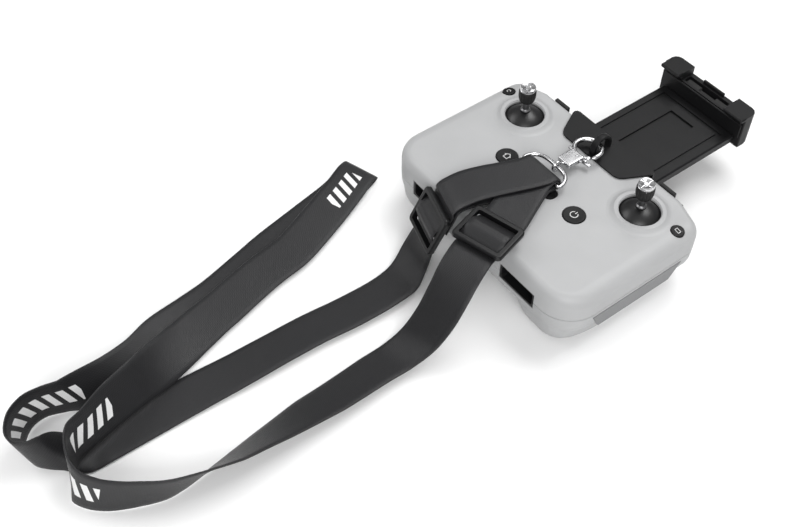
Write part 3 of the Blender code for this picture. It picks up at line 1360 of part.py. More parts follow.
def on_slider(name, along_by, out_by):
    centre, _, along, out = slider_axes(name)
    return centre + along * along_by + out * out_by


def slider_stations(name, edge_sign, towards_neck):
    """Webbing through a slider: under the end bars and over the middle bar."""
    _, across, _, _ = slider_axes(name)
    under = -SLIDER_THICKNESS / 2 - GAP * 3 - STRAP_THICKNESS / 2
    over = SLIDER_THICKNESS / 2 - 0.0007 + GAP + STRAP_THICKNESS / 2
    end = SLIDER_LENGTH / 2
    rows = [(-end - 0.001, under), (-end + 0.0022, under), (-end / 2, (under + over) / 2),
            (-0.0023, over), (0, over + 0.0001), (0.0023, over), (end / 2, (under + over) / 2),
            (end - 0.0022, under), (end + 0.001, under)]
    if not towards_neck:
        rows.reverse()
    return [(on_slider(name, a, o), across * edge_sign) for a, o in rows]


def bearing_vector(bearing, lift):
    level = math.cos(math.radians(lift))
    return Vector((
        level * math.cos(math.radians(bearing)), level * math.sin(math.radians(bearing)),
        math.sin(math.radians(lift)),
    ))


def bar_wrap(radius, edge, from_below):
    """Stations round the D-ring's bar, from under it to over it or back."""
    centre = Vector((D_RING_X, D_RING_BAR_Y, D_RING_BAR_Z))
    angles = [-90, -60, -30, 0, 30, 60, 90]
    if not from_below:
        angles.reverse()
    stations = []
    for angle in angles:
        t = math.radians(angle)
        stations.append((centre + Vector((0, math.cos(t), math.sin(t))) * radius, edge))
    return stations


def strap_stations():
    """Centre and edge direction of the whole webbing, end to end, in metres."""
    inner_wrap = D_RING_WIRE + GAP + STRAP_THICKNESS / 2
    outer_wrap = inner_wrap + STRAP_THICKNESS + GAP
    left_edge, right_edge = Vector((-1, 0, 0)), Vector((1, 0, 0))
    left_across = slider_axes("left")[1] * -1
    right_across = slider_axes("right")[1]

    def tab(points, across, edge):
        """Stations of a tab, turning from the D-ring's edge to the slider's on the way."""
        stations = []
        for x, y, z in points:
            share = min(max((D_RING_BAR_Y - 0.008 - y / 1000) / TAB_TURN, 0), 1)
            stations.append((Vector((x, y, z)) / 1000, edge.lerp(across, share).normalized()))
        return stations

    end_level = -SLIDER_THICKNESS / 2 - 2 * (GAP * 2 + STRAP_THICKNESS)
    stations = [
        (on_slider("left", -0.0010, end_level), left_across),
        (on_slider("left", -0.0060, end_level), left_across),
        (on_slider("left", -0.0112, end_level), left_across),
    ]
    stations += tab(LEFT_TAB_BELOW, left_across, left_edge)
    stations += bar_wrap(outer_wrap, left_edge, True)
    stations += tab(LEFT_TAB_ABOVE, left_across, left_edge)
    stations += slider_stations("left", -1, True)
    for x, y, above_floor, bearing, lift in NECK_ROUTE:
        half_height = abs(math.sin(math.radians(lift))) * STRAP_WIDTH / 2
        half_height += math.cos(math.radians(lift)) * STRAP_THICKNESS / 2
        place = Vector((x / 1000, y / 1000, above_floor / 1000 + half_height - FACE_HEIGHT))
        stations.append((place, bearing_vector(bearing, lift)))
    stations += slider_stations("right", 1, False)
    stations += tab(RIGHT_TAB_ABOVE, right_across, right_edge)
    stations += bar_wrap(inner_wrap, right_edge, False)
    stations += tab(RIGHT_TAB_BELOW, right_across, right_edge)
    stations += [
        (on_slider("right", -0.0112, end_level), right_across),
        (on_slider("right", -0.0060, end_level), right_across),
        (on_slider("right", -0.0010, end_level), right_across),
    ]
    return stations


def smooth_stations(stations):
    """Centripetal curve through the stations, finer where they lie further apart."""
    places = [place for place, _ in stations]
    places.insert(0, places[0] * 2 - places[1])
    places.append(places[-1] * 2 - places[-2])
    result = []
    for i in range(len(stations) - 1):
        p0, p1, p2, p3 = places[i:i + 4]
        t1 = (p1 - p0).length ** 0.5
        t2 = t1 + (p2 - p1).length ** 0.5
        t3 = t2 + (p3 - p2).length ** 0.5
        parts = 1 + ((p2 - p1).length > 0.004) + ((p2 - p1).length > 0.016)
        for k in range(parts):
            share = k / parts
            t = t1 + (t2 - t1) * share
            a1 = p0.lerp(p1, t / t1)
            a2 = p1.lerp(p2, (t - t1) / (t2 - t1))
            a3 = p2.lerp(p3, (t - t2) / (t3 - t2))
            b1 = a1.lerp(a2, t / t2)
            b2 = a2.lerp(a3, (t - t1) / (t3 - t1))
            edge = stations[i][1].lerp(stations[i + 1][1], share).normalized()
            result.append((b1.lerp(b2, (t - t1) / (t2 - t1)), edge))
    result.append(stations[-1])
    return result


def neck_strap(frame):
    stations = smooth_stations(strap_stations())
    rings = []
    for i, (place, edge) in enumerate(stations):
        ahead = stations[min(i + 1, len(stations) - 1)][0]
        behind = stations[max(i - 1, 0)][0]
        along = (ahead - behind).normalized()
        out = edge.cross(along).normalized() * (STRAP_THICKNESS / 2)
        side = edge * (STRAP_WIDTH / 2)
        rings.append([place - side - out, place + side - out, place + side + out, place - side + out])
    finished("neck_strap", loft(rings), "black_webbing", frame)


def main():
    clear_scene()
    frame = empty("controller_frame", None, (0, FRAME_Y, FACE_HEIGHT))
    front_shell(frame)
    rear_shell(frame)
    grip_panels(frame)
    rear_screws(frame)
    phone_lip(frame)
    rest_pads(frame)
    top_trim(frame)
    lanyard_eyelet(frame)
    centre_buttons(frame)
    side_buttons(frame)
    mode_switch(frame)
    battery_lights(frame)
    shoulder_controls(frame)
    for side, name in ((-1, "left"), (1, "right")):
        gimbal(frame, side, name)
        slider_frame(frame, name)
    main_board(frame)
    battery_cells(frame)
    usb_port(frame)
    stick_slots(frame)
    phone_holder(frame)
    d_ring(frame, clasp(frame))
    neck_strap(frame)
    bpy.context.view_layer.update()


main()
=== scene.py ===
from math import asin, atan2, copysign, cos, pi, radians, sin, sqrt, tan

import bmesh
import bpy
from mathutils import Matrix, Vector


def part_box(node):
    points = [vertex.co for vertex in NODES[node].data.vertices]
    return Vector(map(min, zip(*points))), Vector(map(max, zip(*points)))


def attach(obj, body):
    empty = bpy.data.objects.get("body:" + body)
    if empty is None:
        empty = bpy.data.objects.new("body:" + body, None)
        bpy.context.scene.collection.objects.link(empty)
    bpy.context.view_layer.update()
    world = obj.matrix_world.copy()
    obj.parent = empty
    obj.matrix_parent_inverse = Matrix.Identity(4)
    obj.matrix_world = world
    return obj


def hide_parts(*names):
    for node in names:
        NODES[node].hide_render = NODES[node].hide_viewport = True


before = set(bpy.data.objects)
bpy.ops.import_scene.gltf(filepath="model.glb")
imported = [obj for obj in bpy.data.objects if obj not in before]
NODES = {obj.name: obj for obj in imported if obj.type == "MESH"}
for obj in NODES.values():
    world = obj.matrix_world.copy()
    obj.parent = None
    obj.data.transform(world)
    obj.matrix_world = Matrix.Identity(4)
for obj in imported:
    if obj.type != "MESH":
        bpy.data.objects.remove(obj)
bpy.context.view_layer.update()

# ---------------------------------------------------------------- shared sizes, in metres
FRONT_LOW, FRONT_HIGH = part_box("front_shell")
HALF_WIDTH = 0.075
BOTTOM_Y = -0.077
TOP_Y = BOTTOM_Y + (FRONT_HIGH.y - FRONT_LOW.y)
RIM_HEIGHT = 0.0018
# Middle of the face between the sticks, where the local measures below start.
ORIGIN = Vector((0, FRONT_LOW.y - BOTTOM_Y, FRONT_HIGH.z - RIM_HEIGHT))
HOME = Matrix.Translation(ORIGIN)
GAP = 0.0003
WALL = 0.0024
PARTING_DEPTH = 0.016
CENTRE_DEPTH = 0.030
GRIP_DEPTH = ORIGIN.z
STICK_X = 0.0465
DOME_RADIUS = 0.0144
PIVOT_Z = 0.0045 - DOME_RADIUS
STALK_RADIUS = 0.0024
KNOB_RADIUS = 0.005
KNOB_BOTTOM_Z = 0.011
KNOB_TOP_Z = 0.0195
CAP_TOP_Z = 0.022
BUTTON_X = 0.0273
BUTTON_Y = -0.0296
STRAP_WIDTH = 0.0242
STRAP_THICKNESS = 0.0012


# ---------------------------------------------------------------- node materials
def set_ramp(ramp, *stops):
    for element, (position, colour) in zip(ramp.color_ramp.elements, stops):
        element.position = position
        element.color = (*colour, 1)


class Shader:
    """A Principled material and short ways to wire its texture nodes."""

    def __init__(self, name, colour, roughness, metallic=0.0, **sockets):
        self.material = bpy.data.materials.new(name)
        self.material.use_nodes = True
        self.tree = self.material.node_tree
        self.shader = self.tree.nodes["Principled BSDF"]
        self.shader.inputs["Base Color"].default_value = (*colour, 1)
        self.shader.inputs["Roughness"].default_value = roughness
        self.shader.inputs["Metallic"].default_value = metallic
        for label, value in sockets.items():
            self.shader.inputs[label.replace("_", " ")].default_value = value
        self.height = None
        place = self.tree.nodes.new("ShaderNodeTexCoord")
        self.place = place.outputs["Object"]
        self.uv = place.outputs["UV"]

    def link(self, source, target):
        self.tree.links.new(source, target)

    def noise(self, scale, detail=3.0, roughness=0.5, vector=None):
        node = self.tree.nodes.new("ShaderNodeTexNoise")
        node.inputs["Scale"].default_value = scale
        node.inputs["Detail"].default_value = detail
        node.inputs["Roughness"].default_value = roughness
        self.link(vector or self.place, node.inputs["Vector"])
        return node.outputs["Fac"]

    def cells(self, scale):
        node = self.tree.nodes.new("ShaderNodeTexVoronoi")
        node.inputs["Scale"].default_value = scale
        self.link(self.place, node.inputs["Vector"])
        return node.outputs["Distance"]

    def stretched(self, scales):
        node = self.tree.nodes.new("ShaderNodeMapping")
        node.inputs["Scale"].default_value = scales
        self.link(self.place, node.inputs["Vector"])
        return node.outputs["Vector"]

    def wave(self, scale, direction, vector):
        node = self.tree.nodes.new("ShaderNodeTexWave")
        node.bands_direction = direction
        node.inputs["Scale"].default_value = scale
        self.link(vector, node.inputs["Vector"])
        return node.outputs["Fac"]

    def maths(self, operation, first, second=None):
        node = self.tree.nodes.new("ShaderNodeMath")
        node.operation = operation
        for socket, value in zip(node.inputs, (first, second)):
            if isinstance(value, (int, float)):
                socket.default_value = value
            elif value is not None:
                self.link(value, socket)
        return node.outputs["Value"]

    def spread(self, source, low, high):
        node = self.tree.nodes.new("ShaderNodeMapRange")
        node.inputs["To Min"].default_value = low
        node.inputs["To Max"].default_value = high
        self.link(source, node.inputs["Value"])
        return node.outputs["Result"]

    def tint(self, source, low, high, low_colour, high_colour):
        """Base colour that runs between two shades as the source goes from low to high."""
        ramp = self.tree.nodes.new("ShaderNodeValToRGB")
        set_ramp(ramp, (low, low_colour), (high, high_colour))
        self.link(source, ramp.inputs["Fac"])
        self.link(ramp.outputs["Color"], self.shader.inputs["Base Color"])
        return ramp.outputs["Color"]

    def rough(self, source, low, high):
        self.link(self.spread(source, low, high), self.shader.inputs["Roughness"])

    def bump(self, source, strength, distance):
        node = self.tree.nodes.new("ShaderNodeBump")
        node.inputs["Strength"].default_value = strength
        node.inputs["Distance"].default_value = distance
        self.link(source, node.inputs["Height"])
        if self.height is not None:
            self.link(self.height, node.inputs["Normal"])
        self.link(node.outputs["Normal"], self.shader.inputs["Normal"])
        self.height = node.outputs["Normal"]


def shade(colour, factor):
    return tuple(channel * factor for channel in colour)


def moulded(name, colour, roughness, grain, depth, **sockets):
    """Moulded plastic with a spark-eroded grain and faint handling marks."""
    s = Shader(name, colour, roughness, **sockets)
    broad = s.noise(38, 4, 0.55)
    s.tint(broad, 0.3, 0.7, shade(colour, 0.965), shade(colour, 1.03))
    s.rough(s.noise(95, 5, 0.65), roughness - 0.07, roughness + 0.07)
    s.bump(s.cells(grain), 0.35, depth)
    s.bump(s.noise(grain * 0.45, 2, 0.5), 0.25, depth)
    return s.material


def polished(name, colour, roughness, **sockets):
    """Polished metal or gloss plastic with faint smudges and hairlines."""
    s = Shader(name, colour, roughness, **sockets)
    smudge = s.noise(120, 4, 0.6)
    s.tint(smudge, 0.3, 0.75, shade(colour, 0.94), shade(colour, 1.02))
    s.rough(smudge, max(roughness - 0.03, 0.02), roughness + 0.07)
    s.bump(s.noise(900, 2, 0.5), 0.02, 0.00001)
    return s.material


def brushed(name, colour, roughness):
    s = Shader(name, colour, roughness, metallic=1.0)
    lines = s.noise(700, 3, 0.6, s.stretched((14, 1, 1)))
    s.tint(lines, 0.3, 0.7, shade(colour, 0.85), shade(colour, 1.06))
    s.rough(lines, roughness - 0.08, roughness + 0.12)
    s.bump(lines, 0.15, 0.00005)
    return s.material


def rubber(name, colour, roughness):
    s = Shader(name, colour, roughness, Specular_IOR_Level=0.35)
    s.tint(s.noise(150, 5, 0.6), 0.3, 0.75, shade(colour, 0.85), shade(colour, 1.25))
    s.rough(s.noise(260, 3, 0.6), roughness - 0.1, roughness + 0.1)
    s.bump(s.noise(2600, 2, 0.5), 0.3, 0.00006)
    return s.material


# Printed marks on the webbing: start and length in webbing widths, and which face (1 is the
# lower one). The lower face's UV starts UNDERSIDE widths further along.
MARKS = ((16.9, 2.45, 0), (28.5, 1.15, 1), (37.0, 1.2, 1), (38.55, 1.0, 0))
UNDERSIDE = 100
MARK_HALF_WIDTH = 0.21
BAR_SLANT = 0.45
BARS_PER_WIDTH = 3.6
BAR_SHARE = 0.56


def webbing_material():
    """Close-woven polyester: fine warp ribs across, weft steps along, painted shade in the weave's
    hollows and painted highlight on its ridges, printed slanted bars.
    """
    colour = (0.011, 0.011, 0.012)
    s = Shader(
        "webbing", colour, 0.5, Sheen_Weight=0.04, Sheen_Roughness=0.4, Specular_IOR_Level=0.34
    )
    across = s.wave(15.0, "X", s.uv)
    along = s.wave(11.0, "Y", s.uv)
    twill = s.wave(9.0, "DIAGONAL", s.uv)
    weave = s.maths("ADD", s.maths("MULTIPLY", across, 0.4), s.maths("MULTIPLY", along, 0.6))
    thread = s.maths("ADD", weave, s.maths("MULTIPLY", twill, 0.25))
    split = s.tree.nodes.new("ShaderNodeSeparateXYZ")
    s.link(s.uv, split.inputs["Vector"])
    u, v = split.outputs["X"], split.outputs["Y"]
    from_middle = s.maths("ABSOLUTE", s.maths("SUBTRACT", u, 0.5))
    band = s.maths("LESS_THAN", from_middle, MARK_HALF_WIDTH)
    slanted = s.maths("ADD", v, s.maths("MULTIPLY", u, BAR_SLANT))
    phase = s.maths("FRACT", s.maths("MULTIPLY", slanted, BARS_PER_WIDTH))
    bars = s.maths("LESS_THAN", phase, BAR_SHARE)
    total = None
    for start, length, face in MARKS:
        first = start + UNDERSIDE * face
        inside = s.maths(
            "MULTIPLY", s.maths("GREATER_THAN", v, first), s.maths("LESS_THAN", v, first + length)
        )
        total = inside if total is None else s.maths("ADD", total, inside)
    ink = s.maths("MULTIPLY", s.maths("MULTIPLY", band, bars), total)
    # Painted shade and highlight: the base colour is darker where the weave's heights are low and
    # lighter where they are high, using the same heights that drive the bump.
    weave_relief_shade = s.tint(thread, 0.15, 0.95, shade(colour, 0.45), shade(colour, 1.75))
    mix = s.tree.nodes.new("ShaderNodeMix")
    mix.data_type = "RGBA"
    mix.inputs["B"].default_value = (0.78, 0.78, 0.78, 1)
    s.link(s.maths("MULTIPLY", ink, s.spread(s.noise(700), 0.86, 1.0)), mix.inputs["Factor"])
    s.link(weave_relief_shade, mix.inputs["A"])
    s.link(mix.outputs["Result"], s.shader.inputs["Base Color"])
    s.rough(s.noise(240, 4, 0.6), 0.36, 0.50)
    s.bump(thread, 0.55, 0.00012)
    return s.material


SHELL = moulded("shell", (0.365, 0.368, 0.372), 0.48, 2600, 0.00005)
GRIP = moulded("grip", (0.20, 0.202, 0.206), 0.66, 1700, 0.00010)
BLACK = moulded(
    "black_plastic", (0.006, 0.006, 0.0065), 0.48, 2300, 0.00004, Specular_IOR_Level=0.22
)
SATIN = moulded("satin_black", (0.004, 0.004, 0.0045), 0.36, 2600, 0.00002, Specular_IOR_Level=0.3)
GLOSS = polished("gloss_black", (0.005, 0.005, 0.0055), 0.34, Specular_IOR_Level=0.55)
RUBBER = rubber("rubber", (0.008, 0.008, 0.008), 0.6)
CHROME = polished("chrome", (0.60, 0.60, 0.61), 0.17, metallic=1.0)
DARK_METAL = brushed("dark_metal", (0.20, 0.20, 0.205), 0.34)
STEEL = brushed("steel", (0.55, 0.55, 0.56), 0.30)
WEBBING = webbing_material()
LENS = polished("lens", (0.62, 0.63, 0.62), 0.22, Transmission_Weight=0.25)
INK = rubber("icon_ink", (0.66, 0.66, 0.66), 0.55)


# ---------------------------------------------------------------- mesh helpers
def full_turn(count, offset=0):
    return [2 * pi * (i + offset) / count for i in range(count)]


def powered(value, power):
    """The size of a value raised to a power, with its sign kept."""
    return copysign(abs(value) ** power, value)


def loft(rings, closed=False):
    """Closed skin through rings of equal point counts; a one-point ring is a pole."""
    skin = bmesh.new()
    rows = [[skin.verts.new(point) for point in ring] for ring in rings]
    pairs = list(zip(rows, rows[1:]))
    if closed:
        pairs.append((rows[-1], rows[0]))
    for lower, upper in pairs:
        count = max(len(lower), len(upper))
        for i in range(count):
            j = (i + 1) % count
            if len(lower) == 1:
                skin.faces.new((lower[0], upper[i], upper[j]))
            elif len(upper) == 1:
                skin.faces.new((lower[i], upper[0], lower[j]))
            else:
                skin.faces.new((lower[i], upper[i], upper[j], lower[j]))
    if not closed:
        for ring in (rows[0], rows[-1]):
            if len(ring) > 2:
                skin.faces.new(ring)
    return skin


def turned(profile, sides=64, closed=False):
    rings = []
    for radius, height in profile:
        if radius <= 0:
            rings.append([(0, 0, height)])
            continue
        rings.append([
            (radius * cos(t), radius * sin(t), height) for t in full_turn(sides)
        ])
    return loft(rings, closed)


def block(low, high, radius=0.0, segments=3, upright=False):
    skin = bmesh.new()
    bmesh.ops.create_cube(skin, size=1)
    for vertex in skin.verts:
        for axis in range(3):
            middle = (low[axis] + high[axis]) / 2
            vertex.co[axis] = middle + vertex.co[axis] * (high[axis] - low[axis])
    if radius > 0:
        chosen = list(skin.edges)
        if upright:
            chosen = [e for e in chosen if abs(e.verts[0].co.z - e.verts[1].co.z) > 1e-9]
        bmesh.ops.bevel(
            skin, geom=chosen, offset=radius, segments=segments, profile=0.5, affect="EDGES"
        )
    return skin


def moved(skin, matrix):
    bmesh.ops.transform(skin, matrix=matrix, verts=skin.verts)
    return skin


def rod(radius, start, end, sides=32):
    start, end = Vector(start), Vector(end)
    skin = turned([(radius, 0), (radius, (end - start).length)], sides)
    turn = Vector((0, 0, 1)).rotation_difference(end - start).to_matrix().to_4x4()
    return moved(skin, Matrix.Translation(start) @ turn)


def wire(path, radius, sides=20, closed=False):
    """Round wire along a path; a list of radii makes it taper."""
    count = len(path)
    rings = []
    normal = None
    for i, point in enumerate(path):
        if closed:
            ahead, behind = path[(i + 1) % count], path[i - 1]
        else:
            ahead, behind = path[min(i + 1, count - 1)], path[max(i - 1, 0)]
        along = (Vector(ahead) - Vector(behind)).normalized()
        if normal is None:
            normal = along.orthogonal().normalized()
        normal = (normal - along * normal.dot(along)).normalized()
        across = along.cross(normal)
        size = radius[i] if isinstance(radius, list) else radius
        rings.append([
            Vector(point) + size * (cos(t) * normal + sin(t) * across)
            for t in full_turn(sides)
        ])
    return loft(rings, closed)


def arc(radius, start, end, steps, centre=(0, 0)):
    points = []
    for i in range(steps + 1):
        angle = radians(start + (end - start) * i / steps)
        x = centre[0] + radius * cos(angle)
        y = centre[1] + radius * sin(angle)
        points.append((x, y, 0.0))
    return points


def rounded_outline(corners, inset=0.0, steps=10, least=0.0006):
    """Plan outline of a convex polygon of (x, y, radius, edge inset share) corners."""
    count = len(corners)
    lines = []
    for i, (x, y, _, share) in enumerate(corners):
        nx, ny = corners[(i + 1) % count][:2]
        along = Vector((nx - x, ny - y)).normalized()
        inwards = Vector((-along.y, along.x))
        lines.append((Vector((x, y)) + inwards * inset * share, along))
    points = []
    for i, (_, _, radius, _) in enumerate(corners):
        (before, d1), (after, d2) = lines[i - 1], lines[i]
        cross = d1.x * d2.y - d1.y * d2.x
        between = after - before
        reach = (between.x * d2.y - between.y * d2.x) / cross
        corner = before + d1 * reach
        turn = atan2(cross, d1.dot(d2))
        fillet = max(radius - inset, least)
        start = corner - d1 * fillet * tan(turn / 2)
        centre = start + Vector((-d1.y, d1.x)) * fillet
        spoke = start - centre
        for k in range(steps + 1):
            angle = turn * k / steps
            c, s = cos(angle), sin(angle)
            x = centre.x + spoke.x * c - spoke.y * s
            points.append((x, centre.y + spoke.x * s + spoke.y * c))
    return points


def at_height(outline, z):
    return [(x, y, z) for x, y in outline]


def new_object(name, skin):
    bmesh.ops.recalc_face_normals(skin, faces=skin.faces)
    mesh = bpy.data.meshes.new(name)
    skin.to_mesh(mesh)
    skin.free()
    piece = bpy.data.objects.new(name, mesh)
    bpy.context.scene.collection.objects.link(piece)
    return piece


def combined(name, skin, steps):
    """One object from a skin and a list of (operation, skin) Booleans, already applied."""
    piece = new_object(name, skin)
    helpers = []
    for i, (operation, tool) in enumerate(steps):
        helper = new_object(f"tool_{i}", tool)
        helpers.append(helper)
        step = piece.modifiers.new(f"step_{i}", "BOOLEAN")
        step.operation = operation
        step.object = helper
        step.solver = "EXACT"
    graph = bpy.context.evaluated_depsgraph_get()
    mesh = bpy.data.meshes.new_from_object(piece.evaluated_get(graph))
    piece.modifiers.clear()
    piece.data = mesh
    for helper in helpers:
        bpy.data.objects.remove(helper, do_unlink=True)
    return piece


def dress(piece, material, body, node, sharp=32, bevel=0.0):
    """Finish a piece: smooth shading, fine edge radius, material, body and the CAD node it replaces."""
    mesh = piece.data
    mesh.shade_smooth()
    mesh.set_sharp_from_angle(angle=radians(sharp))
    mesh.materials.clear()
    mesh.materials.append(material)
    if bevel:
        rounding = piece.modifiers.new("edge_radius", "BEVEL")
        rounding.width = bevel
        rounding.segments = 2
        rounding.limit_method = "ANGLE"
        rounding.angle_limit = radians(38)
        rounding.harden_normals = True
    normals = piece.modifiers.new("even_shading", "WEIGHTED_NORMAL")
    normals.keep_sharp = True
    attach(piece, body)
    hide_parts(node)


def cut(skin):
    return ("DIFFERENCE", skin)


def add(skin):
    return ("UNION", skin)


def fluted(rows, sides, flutes, depth, power):
    """Skin through (radius, height, 1 or 0) rows, with flutes pressed into the rows with a 1."""
    rings = []
    for radius, height, pressed in rows:
        ring = []
        for t in full_turn(sides):
            reach = radius - depth * max(0, cos(t * flutes)) ** power * pressed
            ring.append((reach * cos(t), reach * sin(t), height))
        rings.append(ring)
    return loft(rings)


# ---------------------------------------------------------------- housing
FILLET_SIDE = 0.009
FILLET_DROP = 0.007
SHOULDER_RUN = 0.021
SHOULDER_DROP = 0.007
SHOULDER_ANGLE = atan2(SHOULDER_DROP, SHOULDER_RUN)
DIAL_INSET = 0.0052
SCREWS = ((-0.021, -0.070), (0.021, -0.070), (-0.032, 0.0205), (0.032, 0.0205))


def housing_outline(inset, bottom=1.0, top=1.0):
    shoulder_x = HALF_WIDTH - SHOULDER_RUN
    shoulder_y = TOP_Y - SHOULDER_DROP
    corners = [
        (-HALF_WIDTH, BOTTOM_Y, 0.020, bottom), (HALF_WIDTH, BOTTOM_Y, 0.020, 1.0),
        (HALF_WIDTH, shoulder_y, 0.010, top), (shoulder_x, TOP_Y, 0.010, top),
        (-shoulder_x, TOP_Y, 0.010, top), (-HALF_WIDTH, shoulder_y, 0.010, 1.0),
    ]
    return rounded_outline(corners, inset, steps=14)


def fillet_rings(depth_into, to_z, steps=14):
    rings = [at_height(housing_outline(depth_into), to_z)]
    if not depth_into:
        lip = at_height(housing_outline(0.0), to_z + 0.0004)
        rings = [at_height(housing_outline(0.00025), to_z), lip]
    for k in range(steps + 1):
        t = radians(90 * (steps - k) / steps)
        level = -FILLET_DROP * (1 - cos(t)) - depth_into * cos(t)
        side = FILLET_SIDE * (1 - sin(t))
        inset = side + depth_into * sin(t)
        bottom = (side * 5 / 9 + depth_into * sin(t)) / max(inset, 1e-9)
        top = (side * 0.5 + depth_into * sin(t)) / max(inset, 1e-9)
        rings.append(at_height(housing_outline(inset, bottom, top), level))
    return rings


def side_button_matrix(side):
    sine = 1 - 0.007 / FILLET_SIDE
    drop = FILLET_DROP * (1 - sqrt(1 - sine * sine))
    place = Matrix.Translation((side * (HALF_WIDTH - 0.007), 0.0065, -drop))
    return place @ Matrix.Rotation(radians(side * 10), 4, "Y")


def shared_openings():
    arm_slot = block((-0.0283, TOP_Y - 0.006, -0.0203), (0.0283, TOP_Y + 0.004, -0.014), 0.0008)
    steps = [cut(arm_slot)]
    for side in (-1, 1):
        xs = sorted((side * 0.024, side * 0.0505))
        steps.append(cut(block(
            (xs[0] - GAP, BOTTOM_Y - 0.003, -0.0209), (xs[1] + GAP, BOTTOM_Y + 0.0149, -0.0097)
        )))
    return steps


def stick_cutters(side):
    """The raised rim, mouth and ball-shaped seat of one stick."""
    place = Matrix.Translation((side * STICK_X, 0, 0))
    rim = [(0, RIM_HEIGHT)]
    for degrees in range(0, 61, 12):
        t = radians(degrees)
        rim.append((0.0145 - 0.0008 + 0.0008 * sin(t), RIM_HEIGHT - 0.0008 + 0.0008 * cos(t)))
    rim += [(0.0151, 0.00095), (0.0158, 0.00045), (0.0167, 0.00015), (0.018, 0.00002),
            (0.018, -WALL / 2), (0, -WALL / 2)]
    mouth = [(0, 0.01), (0.0118, 0.01), (0.0118, 0.0019), (0.01165, 0.0014), (0.0113, 0.0011),
             (0.0113, -0.01), (0, -0.01)]
    reach = DOME_RADIUS + 0.0005
    ball = [(reach * sin(radians(a)), reach * cos(radians(a)))
            for a in range(0, 181, 6)]
    ball[0], ball[-1] = (0, reach), (0, -reach)
    seat = Matrix.Translation((side * STICK_X, 0, PIVOT_Z))
    return [
        add(moved(turned(rim, 96), place)), cut(moved(turned(mouth, 96), place)),
        cut(moved(turned(ball, 96), seat)),
    ]


def button_cutters(side):
    """The stepped hole of the button beside the middle and of the one near the edge."""
    place = Matrix.Translation((side * BUTTON_X, BUTTON_Y, 0))
    hole = [(0, 0.003), (0.0071, 0.003), (0.0071, 0.0), (0.0065, -0.0003), (0.0065, -0.006),
            (0, -0.006)]
    edge_place = side_button_matrix(side)
    return [
        cut(moved(turned(hole), place)),
        cut(moved(rod(0.004, (0, 0, -0.006), (0, 0, 0.003), 64), edge_place)),
        cut(moved(rod(0.0046, (0, 0, -0.008), (0, 0, -WALL - GAP), 48), edge_place)),
    ]


def make_front_shell():
    steps = [cut(loft(fillet_rings(WALL, -PARTING_DEPTH - 0.002, 8)))]
    for side in (-1, 1):
        steps += stick_cutters(side) + button_cutters(side)
        xs = sorted((side * 0.037, side * 0.048))
        rest = block((xs[0] - GAP, TOP_Y - 0.0009, -0.0064), (xs[1] + GAP, TOP_Y + 0.004, 0.002))
        steps.append(cut(rest))
    steps += [
        cut(block((-0.0123, BUTTON_Y - 0.0045, -0.006), (0.0123, BUTTON_Y + 0.0045, 0.003),
                  0.0038, 8, True)),
        cut(block((-0.0078, -0.0409, -0.006), (0.0078, -0.0381, 0.003), 0.0006, 3, True)),
        cut(block((-0.00475, BOTTOM_Y - 0.003, -0.0104), (0.00475, BOTTOM_Y + 0.0084, -0.0066),
                  0.0012, 4)),
    ]
    for x, y in SCREWS:
        steps.append(add(rod(0.0021, (x, y, -WALL / 2), (x, y, -0.0192), 24)))
        steps.append(cut(rod(0.0013, (x, y, -0.013), (x, y, -0.0205), 24)))
    steps += shared_openings()
    piece = combined("face_shell", loft(fillet_rings(0.0, -PARTING_DEPTH)), steps)
    piece.data.transform(HOME)
    dress(piece, SHELL, "transmitter", "front_shell")


# Grips from the parting line down: depth, inner side, then how far the outer side and the
# lower end lie inside the housing's, and the upper end.
GRIP_ROWS = (
    (PARTING_DEPTH + 0.004, 0.0245, 0.0006, 0.0010, 0.0180),
    (GRIP_DEPTH - 0.014, 0.0260, 0.0010, 0.0016, 0.0160),
    (GRIP_DEPTH - 0.008, 0.0285, 0.0024, 0.0026, 0.0125),
    (GRIP_DEPTH - 0.0035, 0.0320, 0.0052, 0.0050, 0.0080),
    (GRIP_DEPTH - 0.001, 0.0365, 0.0088, 0.0080, 0.0035),
    (GRIP_DEPTH, 0.0415, 0.0135, 0.0125, -0.0020),
)
GRIP_POWER = 2 / 3.4


def smooth_rows(rows, parts):
    """Catmull-Rom rows between the given ones."""
    result = []
    last = len(rows) - 1
    for i in range(last):
        quad = [rows[max(i - 1, 0)], rows[i], rows[i + 1], rows[min(i + 2, last)]]
        for k in range(parts):
            t = k / parts
            weights = (
                -0.5 * t + t * t - 0.5 * t ** 3, 1 - 2.5 * t * t + 1.5 * t ** 3,
                0.5 * t + 2 * t * t - 1.5 * t ** 3, -0.5 * t * t + 0.5 * t ** 3,
            )
            result.append(tuple(
                sum(w * row[j] for w, row in zip(weights, quad)) for j in range(5)
            ))
    result.append(rows[last])
    return result


def grip_skin(side, depth_into):
    rings = []
    for depth, inner_x, outer_in, low_in, high_y in smooth_rows(GRIP_ROWS, 4):
        x_low, x_high = inner_x + depth_into, HALF_WIDTH - outer_in - depth_into
        y_low, y_high = BOTTOM_Y + low_in + depth_into, high_y - depth_into
        ring = []
        for t in full_turn(96, 0.5):
            x = (x_low + x_high) / 2 + (x_high - x_low) / 2 * powered(cos(t), GRIP_POWER)
            y = (y_low + y_high) / 2 + (y_high - y_low) / 2 * powered(sin(t), GRIP_POWER)
            ring.append((side * x, y, -min(depth, GRIP_DEPTH) + depth_into))
        rings.append(ring)
    if depth_into:
        rings.insert(0, [(x, y, -PARTING_DEPTH + 0.001) for x, y, _ in rings[0]])
    return loft(rings)


